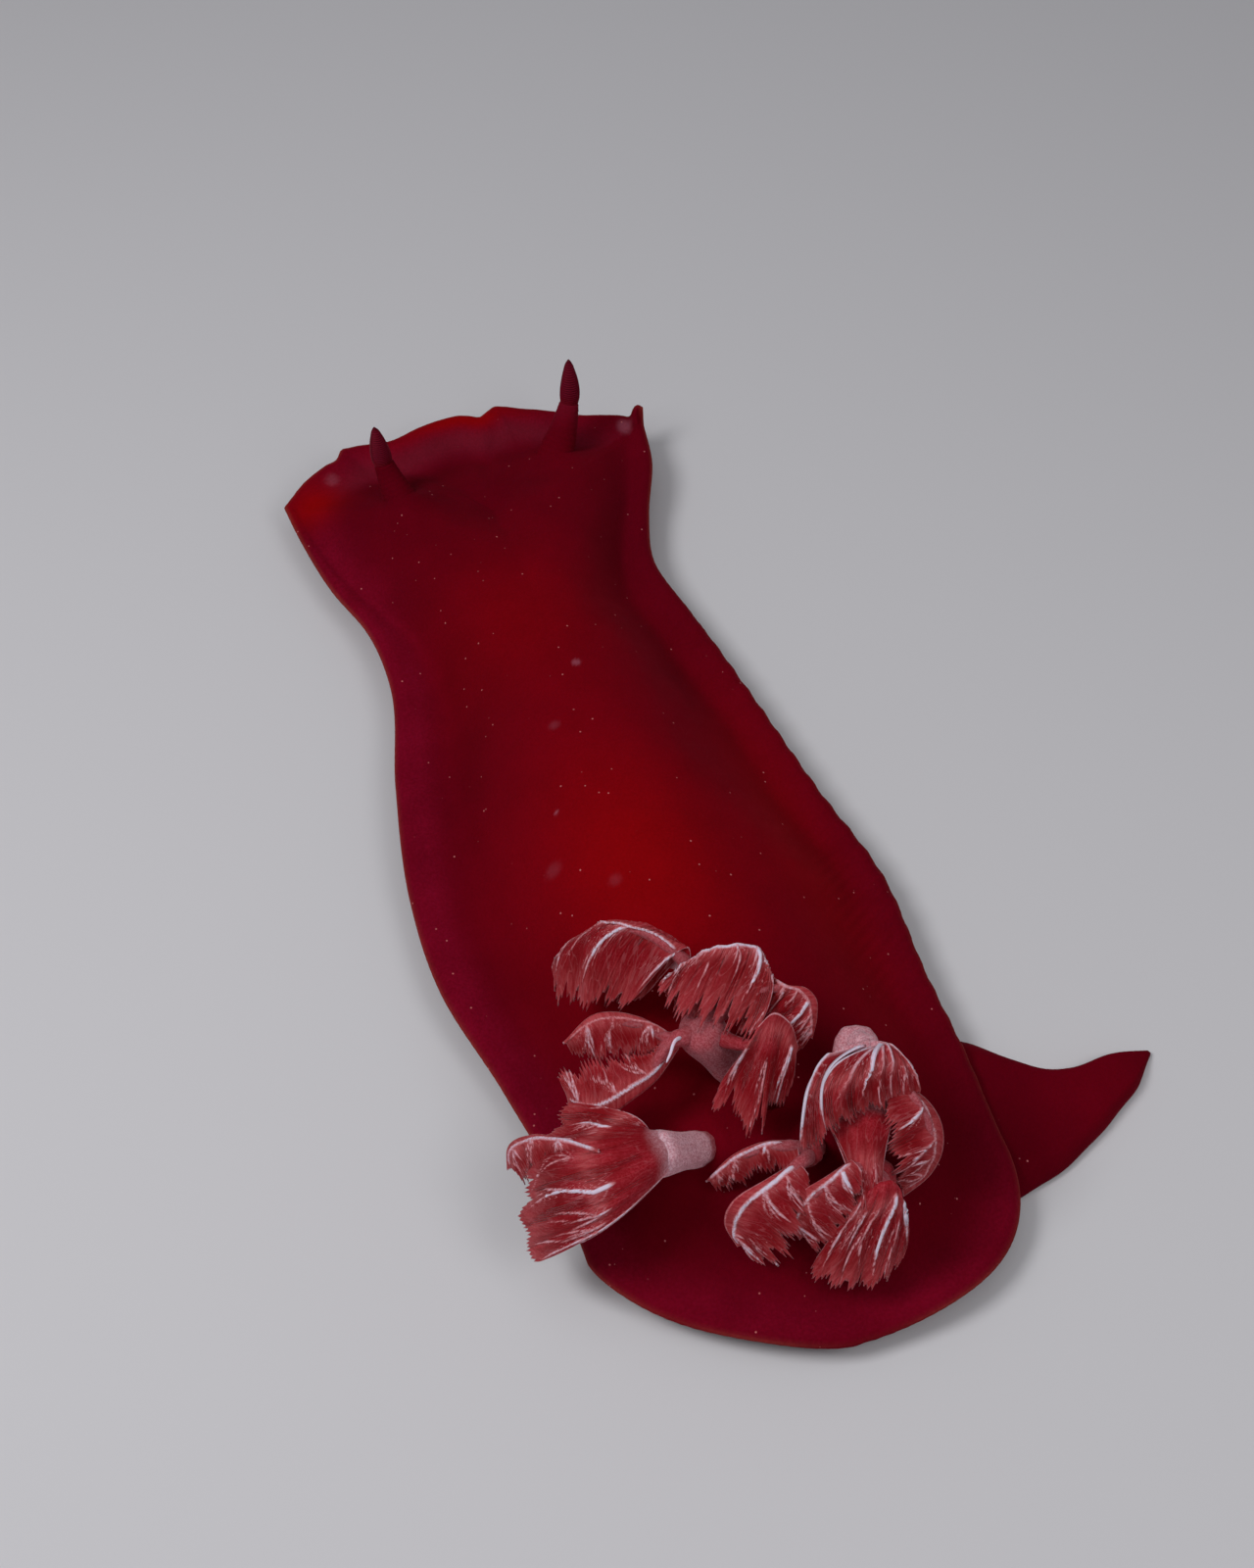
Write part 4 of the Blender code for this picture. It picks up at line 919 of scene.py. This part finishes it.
def fan_shell(fan, seed, fine=1.0):
    """One leaf of a plume.  Each of its lines is the parabola from the root over
    the crest to the fringe.  The membrane sags between its ribs, and its edge is
    drawn out into ruffled lobes with small teeth."""
    draw = np.random.default_rng(seed)
    wide = run_down(through(fan.fringe, np.linspace(0, 1, 80)))[-1]
    teeth = max(8, round(wide / TOOTH_WIDTH))
    at = np.linspace(0, 1, round(teeth * TOOTH_ROWS * fine) + 1)
    back, crest, fringe, top = leaf_lines(fan, at)
    at = at[:, None]

    number = np.minimum(at * teeth, teeth - 1e-6)
    tooth = (1 - np.abs(2 * (number % 1) - 1)) ** 1.3
    tooth = tooth * draw.uniform(0.3, 1.0, teeth)[number.astype(int)]
    lobes, depth = fan.lobes
    phase = lobes * at + 0.3 * np.sin(11 * at + seed) * np.sin(np.pi * at)
    lobe = np.abs(np.sin(np.pi * phase)) ** 0.6
    ruffle = np.sin(np.pi * phase) * draw.uniform(0.5, 1.0, 40)[phase.astype(int)]
    long = np.linalg.norm(fringe - crest, axis=1).mean()
    cut = (LOBE_DEPTH * depth * (1 - lobe) + TOOTH_DEPTH * (1 - tooth)) / (long / (1 - top))
    rise = np.linalg.norm(crest - back, axis=1).mean()
    columns = max(12, int((rise + long) / COLUMN_WIDTH * fine))
    q = np.linspace(0, 1, columns)[None, :]
    w = (q * (1 - cut))[..., None]
    middle = ((w - top) * (w - 1) / top * back[:, None]
              + w * (w - 1) / (top * (top - 1)) * crest[:, None]
              + w * (w - top) / (1 - top) * fringe[:, None])
    w = w[..., 0]
    speed = np.linalg.norm(np.gradient(middle, at[:, 0], axis=0), axis=2)
    steps = np.diff(middle, axis=1, prepend=middle[:, :1])
    run = np.cumsum(np.linalg.norm(steps, axis=2), axis=1)
    ribs, mound, offside, seen = rib_pattern(fan, at, w, top, speed, int(wide / VEIN_GAP), draw)
    beside = np.minimum(np.abs(offside), 6)
    at_crest = bell(w - top, 0.04)
    crest_run = (run * at_crest).sum(axis=1, keepdims=True) / at_crest.sum(axis=1, keepdims=True)
    # The crest line is a raised rib, painted pale also to stand for the sheen where the leaf turns
    # edge-on at its crest
    line = bell(run - crest_run, 0.2 + 0.24 * fan.line * (1 - at)) * fan.line
    line = line * (1 - step(np.abs(at - 0.5), 0.42, 0.5))
    cuff = 0.5 * bell(w - 0.02, 0.02)
    # Painted sheen: a pale outline along the leaf's free edge and its two sides, where it turns
    # edge-on
    outline = np.maximum(0.2 * step(q, 1 - 1.5 / columns, 1),
                         0.5 * step(np.abs(2 * at - 1), 1 - 2.5 / len(at), 1))

    out = facing(middle)
    outward = crest - (back + fringe) / 2
    out *= np.sign((out * outward[:, None]).sum(axis=2).mean())
    sag = np.minimum(speed / len(fan.ribs) * 0.12, 1.0) * (mound - 0.7) * step(w, 0.08, 0.35)
    free = step(q, 0.55, 1)
    lift = (sag + 0.38 * ribs + 0.35 * line + min(0.7, 0.09 * wide / lobes) * ruffle * free
            + 0.12 * (tooth - 0.6) * free)
    beyond = np.clip((w - top) / (1 - top), 0, 1)
    # Painted shade: darker in the sags between the main ribs and in a band across the leaf beyond
    # its crest
    inner = step(beyond, 0.1, 0.35) * (1 - step(beyond, 0.65, 0.95))
    shade_between_ribs = (1 - mound) * step(w, 0.15, 0.4) * (1 - step(q, 0.8, 1))
    rib = np.maximum(ribs, line)
    marks = {"rib": np.maximum(rib, np.maximum(cuff, outline)),
             # paler near the free edge, and a painted highlight along the crest
             "fringe": np.maximum(0.8 * step(q, 0.8, 1.0), 1.2 * bell(run - crest_run, 2.2)),
             # painted shade of the hollows, and of a whole lining
             "hollow": np.maximum(shade_between_ribs, 0.85 * inner) + fan.dark,
             "stalk": 0.65 * (1 - step(w, 0.02, 0.14)) * bool(fan.root),
             "across": at * wide + 0.25 * run + 40 * (seed % 7), "down": run,
             "beside": 6 - (6 - beside) * seen,
             "branch": run - beside - 0.15 * beside ** 2 + 1.2 * (offside > 0)}
    return sheet_shell(middle + out * lift[..., None], 0.12 + 0.08 * (1 - q) + 0.2 * rib, marks)


def plume_stalk_shell(base, top, radius, foot_paleness, top_paleness, seed):
    """Fleshy stalk: it stands out of its pocket, is softly pleated, widens to the
    fronds and is closed over its top in a rounded cap."""
    base = np.array(base, float)
    length = np.linalg.norm(top - base)
    at = np.linspace(-4, length + radius * 0.55, 64)[:, None]
    line = base + at * ((top - base) / length)
    cap = np.clip((at - length + radius * 0.5) / (radius * 1.05), 0, 0.999)
    flare = 0.88 + 0.22 * step(at, length * 0.25, length)
    radii = radius * flare * np.sqrt(1 - cap ** 2.2)
    turn = turns(STALK_SIDES)
    pleats = 0.03 * np.sin(5 * turn + seed + 0.08 * at)
    pleats = pleats + 0.018 * np.sin(11 * turn - 0.1 * at + seed)
    paleness = foot_paleness + (top_paleness - foot_paleness) * step(at, 0.8 * length, length)
    paleness = paleness * (1 - 0.75 * step(-at, -1.2, 0.6))
    marks = dict(rib=0, fringe=0, hollow=0, branch=0, stalk=paleness, across=radius * turn,
                 down=at, beside=5)
    return tube_shell(line, radii * (1 + pleats), marks)


def branch_shell(points, first, last, paleness):
    """Round branch of a plume: its radius shrinks evenly and its tip is closed."""
    share = np.linspace(0, 1, 40)
    line = through(points, share)
    run = run_down(line)[:, None]
    radius = (first + (last - first) * share ** 0.8) * np.sqrt(1 - 0.98 * share ** 14)
    turn = turns(BRANCH_SIDES)
    knobs = 1 + 0.04 * np.sin(3 * turn + run * 0.9) + 0.03 * np.sin(run * 2.3 + turn)
    marks = dict(rib=max(paleness - 1, 0), fringe=0, hollow=0, branch=0,
                 stalk=min(paleness, 1), across=first * turn, down=run, beside=6)
    return tube_shell(line, radius[:, None] * knobs, marks)


def lining(fan):
    """Inner layer of a fan: its crest sunk below the outer one, its fringe drawn
    back to the root, its ribs faint, and painted shade laid over all of it."""
    root = np.mean(fan.root, axis=0)
    crest = np.array(fan.crest) + 0.06 * (root - fan.crest) - LINING_DEPTH * UP
    fringe = np.array(fan.fringe) + 0.16 * (root - fan.fringe) - 0.5 * LINING_DEPTH * UP
    ribs = [(place + 0.06, 0.25 * power, 0.5, end) for place, power, _, end in fan.ribs]
    return fan._replace(crest=crest, fringe=fringe, ribs=ribs, line=0, dark=0.6)


def build_plume(side, node):
    """A stalk, its fans, their linings and its branches: a piece of closed shells."""
    fans = [fan for fan in FANS if fan.plume == side]
    seed = len(node) * 7 + len(fans)
    shells = [plume_stalk_shell(*STALKS[side], seed)]
    shells += [fan_shell(fan, seed + 13 * number) for number, fan in enumerate(fans)]
    shells += [fan_shell(lining(fan), seed + 5, 0.6) for fan in fans if fan.root]
    shells += [branch_shell(*branch) for plume, *branch in BRANCHES if plume == side]
    return mesh_object(f"gill_{side}", *joined(shells))


# ------------ materials

class Paint:
    """Node tree of a new material, with short calls for its common nodes."""

    def __init__(self, name, tree=None):
        """Takes a new material's nodes, or those of a node group."""
        if tree is None:
            self.material = bpy.data.materials.new(name)
            self.material.use_nodes = True
            tree = self.material.node_tree
        self.tree = tree

    def put(self, socket, value):
        """Gives an input a number, a colour or another node's output."""
        if isinstance(value, bpy.types.NodeSocket):
            self.tree.links.new(value, socket)
        else:
            socket.default_value = (*value, 1) if socket.type == "RGBA" else value

    def node(self, kind, inputs, **settings):
        """Outputs of a new node with these inputs and settings."""
        made = self.tree.nodes.new("ShaderNode" + kind)
        for key, value in settings.items():
            setattr(made, key, value)
        for key, value in inputs.items():
            self.put(made.inputs[key], value)
        return made.outputs

    def mark(self, name):
        """Value of a mark that the mesh's points carry."""
        return self.node("Attribute", {}, attribute_name=name)["Fac"]

    def texture(self, kind, scale, place=None, **inputs):
        """Outputs of a texture at the object's own place, or at another."""
        place = place or self.node("TexCoord", {})["Object"]
        return self.node("Tex" + kind, {"Vector": place, "Scale": scale, **inputs})

    def noise(self, scale, detail=3.0, roughness=0.5, place=None):
        """Soft noise about one half."""
        return self.texture("Noise", scale, place, Detail=detail, Roughness=roughness)["Fac"]

    def math(self, operation, first, second=0.0):
        """One step of arithmetic."""
        return self.node("Math", {0: first, 1: second}, operation=operation)[0]

    def times(self, first, second):
        """Product of two values."""
        return self.math("MULTIPLY", first, second)

    def plus(self, first, second):
        """Sum of two values."""
        return self.math("ADD", first, second)

    def spread(self, value, low, high, to_low=0.0, to_high=1.0):
        """Value carried from one range to another, with soft ends."""
        inputs = {"Value": value, "From Min": low, "From Max": high, "To Min": to_low,
                  "To Max": to_high}
        return self.node("MapRange", inputs, interpolation_type="SMOOTHSTEP")["Result"]

    def mix(self, share, first, second, blend="MIX"):
        """Two colours mixed, through those of a mix node's sockets that hold colours."""
        inputs = {0: share, 6: first, 7: second}
        return self.node("Mix", inputs, data_type="RGBA", blend_type=blend)[2]

    def coats(self, colour, *coats):
        """A colour under coats of others, each a share and a colour."""
        for share, coat in coats:
            colour = self.mix(share, colour, coat)
        return colour

    def shaded(self, colour, shade, contrast):
        """A colour made darker and lighter by a grain."""
        grey = self.mix(shade, (1 - contrast,) * 3, (1 + contrast,) * 3)
        return self.mix(1.0, colour, grey, "MULTIPLY")

    def bump(self, height, distance):
        """Normal of a surface raised by height times distance, at half strength."""
        inputs = {"Height": height, "Distance": distance, "Strength": 0.5}
        return self.node("Bump", inputs)["Normal"]

    def finish(self, **values):
        """Sets the shader's inputs, whose names have _ for a space."""
        shader = self.tree.nodes["Principled BSDF"]
        for name, value in values.items():
            self.put(shader.inputs[name.replace("_", " ")], value)
        return self.material


def grain_group():
    """Velvety grain of soft skin: a mottle for the colour, a height for the bump."""
    group = bpy.data.node_groups.new("soft_grain", "ShaderNodeTree")
    for name, way in (("Scale", "INPUT"), ("Mottle", "INPUT"), ("Shade", "OUTPUT"),
                      ("Height", "OUTPUT")):
        group.interface.new_socket(name, in_out=way, socket_type="NodeSocketFloat")
    given = group.nodes.new("NodeGroupInput").outputs
    result = group.nodes.new("NodeGroupOutput").inputs
    tree = Paint("soft_grain", group)
    fine = tree.noise(given["Scale"], 4.0)
    coarse = tree.noise(tree.times(given["Scale"], 0.07), 4.0)
    blended = tree.plus(tree.times(fine, 0.6), tree.times(coarse, 0.4))
    contrast = tree.times(tree.plus(blended, -0.5), given["Mottle"])
    tree.put(result["Shade"], tree.plus(contrast, 0.5))
    tree.put(result["Height"], fine)
    return group


def grain(paint, group, scale, mottle):
    """Shade and height of the grain, as a material's own scale and mottle give them."""
    made = paint.node("Group", {"Scale": scale, "Mottle": mottle}, node_tree=group)
    return made["Shade"], made["Height"]


def skin_material(group):
    """Red velvet: crimson that turns scarlet on the back, partly its own tone and partly
    painted light, darkens in clouds and with painted shade on the right margin, carries
    painted sheen on the left margin, the veil and the rear, light painted through the
    thin front rim, and is orange at the very rim, with pale blotches and specks."""
    paint = Paint("skin")
    mark, times, spread = paint.mark, paint.times, paint.spread
    shade, height = grain(paint, group, 1500.0, 1.3)
    # Painted sheen on the margins, broken up by the grain
    margin_sheen = times(mark("margin_sheen"), spread(shade, 0.2, 0.8, 0.45, 1.0))
    speck = times(spread(paint.texture("Voronoi", 300.0)["Distance"], 0.085, 0.045),
                  spread(paint.texture("Voronoi", 300.0)["Color"], 0.45, 0.65))
    # Coats: random darker clouds; painted shade on the right margin; the back's scarlet, partly
    # painted light; painted sheen on the margins and the veil; light painted through the thin rim;
    # then the orange brink, blotches and specks
    colour = paint.coats(
        CRIMSON, (times(spread(paint.noise(22.0), 0.38, 0.68), 0.55), MAROON),
        (mark("right_side_shade"), MAROON), (mark("scarlet_tone_and_light"), SCARLET), (margin_sheen, MARGIN_SHEEN), (mark("veil_sheen"), VEIL_SHEEN),
        (mark("light_through_rim"), SCARLET), (mark("brink"), BRINK), (mark("blotch"), BLOTCH), (speck, SPECK))
    return paint.finish(
        Base_Color=paint.shaded(colour, shade, 0.22), Roughness=spread(shade, 0.2, 0.8, 0.62, 0.5),
        Subsurface_Weight=0.1, Subsurface_Scale=0.004, Subsurface_Radius=SKIN_SCATTER,
        Sheen_Weight=0.05, Sheen_Roughness=0.5, Sheen_Tint=SKIN_SHEEN, Specular_IOR_Level=0.004,
        Normal=paint.bump(height, 0.00012))


def club_material(group):
    """Dark red leaves with paler edges."""
    paint = Paint("rhinophore_club")
    shade, height = grain(paint, group, 1800.0, 1.2)
    colour = paint.coats(LEAF_DEEP, (paint.mark("leaf"), LEAF_EDGE),
                         (paint.spread(paint.mark("tip"), 0.35, 0.02), CRIMSON))
    return paint.finish(
        Base_Color=paint.shaded(colour, shade, 0.25),
        Roughness=paint.spread(shade, 0.2, 0.8, 0.6, 0.48),
        Subsurface_Weight=0.1, Subsurface_Scale=0.002, Subsurface_Radius=SKIN_SCATTER,
        Sheen_Weight=0.06, Sheen_Roughness=0.4, Sheen_Tint=SKIN_SHEEN, Specular_IOR_Level=0.05,
        Normal=paint.bump(height, 0.00008))


def gill_material(group):
    """Moist, slightly see-through membrane, red with a dark stipple, on lavender
    ribs and a pale stippled stalk.  Hairs run down it, and barbs leave the ribs
    at a slant, each with a length of its own."""
    paint = Paint("gill")
    math, times, plus, noise = paint.math, paint.times, paint.plus, paint.noise
    mark, spread, mix = paint.mark, paint.spread, paint.mix

    def off_middle(value):
        """How far a value is from one half."""
        return math("ABSOLUTE", plus(value, -0.5))

    def stretched(across, down):
        """Place on a leaf, scaled across its lines and down them."""
        return paint.node("CombineXYZ", {"X": times(mark("across"), across),
                                         "Y": times(mark("down"), down)})["Vector"]

    shade, height = grain(paint, group, 2600.0, 2.0)
    stipple = spread(noise(2200.0, 2.0, 0.6), 0.36, 0.64)
    cloud = spread(noise(110.0), 0.4, 0.62)
    along = stretched(0.55, 0.11)
    hairs = times(spread(off_middle(noise(1.0, 1.0, 0.5, along)), 0.022, 0.004), 0.2)
    order = plus(times(mark("branch"), 0.42), times(noise(0.6, 1.0, 0.5, along), 0.8))
    chance = paint.node("TexWhiteNoise", {"W": math("FLOOR", order)}, noise_dimensions="1D")
    length = spread(chance["Value"], 0, 1, 0.8, 5.8)
    strokes = times(spread(off_middle(math("FRACT", order)), 0.12, 0.04),
                    spread(mark("beside"), length, times(length, 0.4)))
    hairs = math("MAXIMUM", hairs, strokes)
    fibre = spread(noise(1.0, 3.0, 0.6, stretched(1.3, 0.22)), 0.36, 0.64)
    membrane = paint.coats(
        mix(stipple, MEMBRANE_DARK, MEMBRANE_LIGHT), (times(fibre, 0.3), FIBRE),
        # Painted shade in the leaf's hollows and over its linings
        (times(cloud, 0.7), CLOUD), (times(mark("hollow"), 0.7), HOLLOW_SHADE),
        # A paler fringe, with a painted highlight along the crest
        (times(mark("fringe"), spread(fibre, 0, 1, 0.55, 0.2)), FRINGE_AND_CREST_HIGHLIGHT), (times(hairs, 0.6), HAIR))
    knobs = times(plus(noise(1400.0, 2.0, 0.6), -0.5), 0.7)
    # The rib mark carries ribs and veins, the crest line and the painted sheen of the leaves'
    # outlines
    rib = plus(mark("rib"), times(knobs, spread(mark("rib"), 0, 0.4)))
    colour = paint.coats(
        membrane, (mark("stalk"), mix(stipple, STALK_DARK, STALK_LIGHT)),
        (spread(rib, 0.08, 0.4), mix(spread(rib, 0.35, 0.85), RIB_DARK, RIB_LIGHT)))
    return paint.finish(
        Base_Color=colour, Roughness=spread(shade, 0.2, 0.8, 0.62, 0.5),
        Subsurface_Weight=0.25, Subsurface_Scale=0.0015, Subsurface_Radius=GILL_SCATTER,
        Sheen_Weight=0.35, Sheen_Roughness=0.2, Sheen_Tint=GILL_SHEEN, Specular_IOR_Level=0.1,
        Alpha=plus(times(mark("stalk"), 1 - LEAF_OPACITY), LEAF_OPACITY),
        Normal=paint.bump(height, 0.00006))


# ------------ scene

def aimed(name, data, place, target):
    """Lamp or lens set at a place and turned to its target."""
    made = added(name, data)
    made.location = place
    made.rotation_euler = (Vector(target) - Vector(place)).to_track_quat("-Z", "Y").to_euler()
    return made


def floor_and_light():
    """Plain pale floor under a soft key light from the animal's left, a weaker one
    from behind its right side, a broad light overhead and an even sky."""
    bpy.ops.mesh.primitive_plane_add(size=FLOOR_SIZE)
    floor = bpy.context.object
    floor.name = "floor"
    grey = Paint("floor").finish(Base_Color=FLOOR_GREY, Roughness=0.9, Specular_IOR_Level=0.1)
    floor.data.materials.append(grey)
    for name, (place, width, power) in LAMPS.items():
        lamp = bpy.data.lights.new(name, "AREA")
        lamp.shape = "DISK"
        lamp.size = width
        lamp.energy = power
        aimed(name, lamp, place, LAMP_AIM)
    world = bpy.data.worlds.new("studio")
    world.use_nodes = True
    sky = world.node_tree.nodes["Background"].inputs
    sky["Color"].default_value = (*SKY, 1)
    sky["Strength"].default_value = SKY_STRENGTH
    bpy.context.scene.world = world
    bpy.context.scene.view_settings.view_transform = "Standard"


def camera():
    """Looks down at 52 degrees from behind the animal's left hip."""
    lens = bpy.data.cameras.new("camera")
    lens.lens = 50
    lens.sensor_fit = "VERTICAL"
    lens.sensor_height = 36
    bpy.context.scene.camera = aimed("camera", lens, CAMERA_PLACE, CAMERA_AIM)


def finish_piece(piece, material, nodes):
    """Material and body of a piece; the CAD nodes that it stands for are hidden."""
    piece.data.materials.clear()
    piece.data.materials.append(material)
    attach(piece, "root")
    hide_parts(*nodes)


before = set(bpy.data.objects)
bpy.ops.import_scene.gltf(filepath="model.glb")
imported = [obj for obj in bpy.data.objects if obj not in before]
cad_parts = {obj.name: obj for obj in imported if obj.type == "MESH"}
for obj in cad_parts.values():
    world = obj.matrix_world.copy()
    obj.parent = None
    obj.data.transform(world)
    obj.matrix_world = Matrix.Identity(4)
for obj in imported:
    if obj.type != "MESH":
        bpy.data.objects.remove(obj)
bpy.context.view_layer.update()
camera()
floor_and_light()
GRAIN = grain_group()
SKIN_NODES = [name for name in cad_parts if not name.startswith(("gill", "rhinophore_club"))]
finish_piece(build_skin(), skin_material(GRAIN), SKIN_NODES)
CLUB = club_material(GRAIN)
for side in RHINOPHORES:
    finish_piece(build_club(side), CLUB, [f"rhinophore_club_{side}"])
GILL = gill_material(GRAIN)
for side in STALKS:
    node = f"gill_plume_{side}"
    finish_piece(build_plume(side, node), GILL, [node])
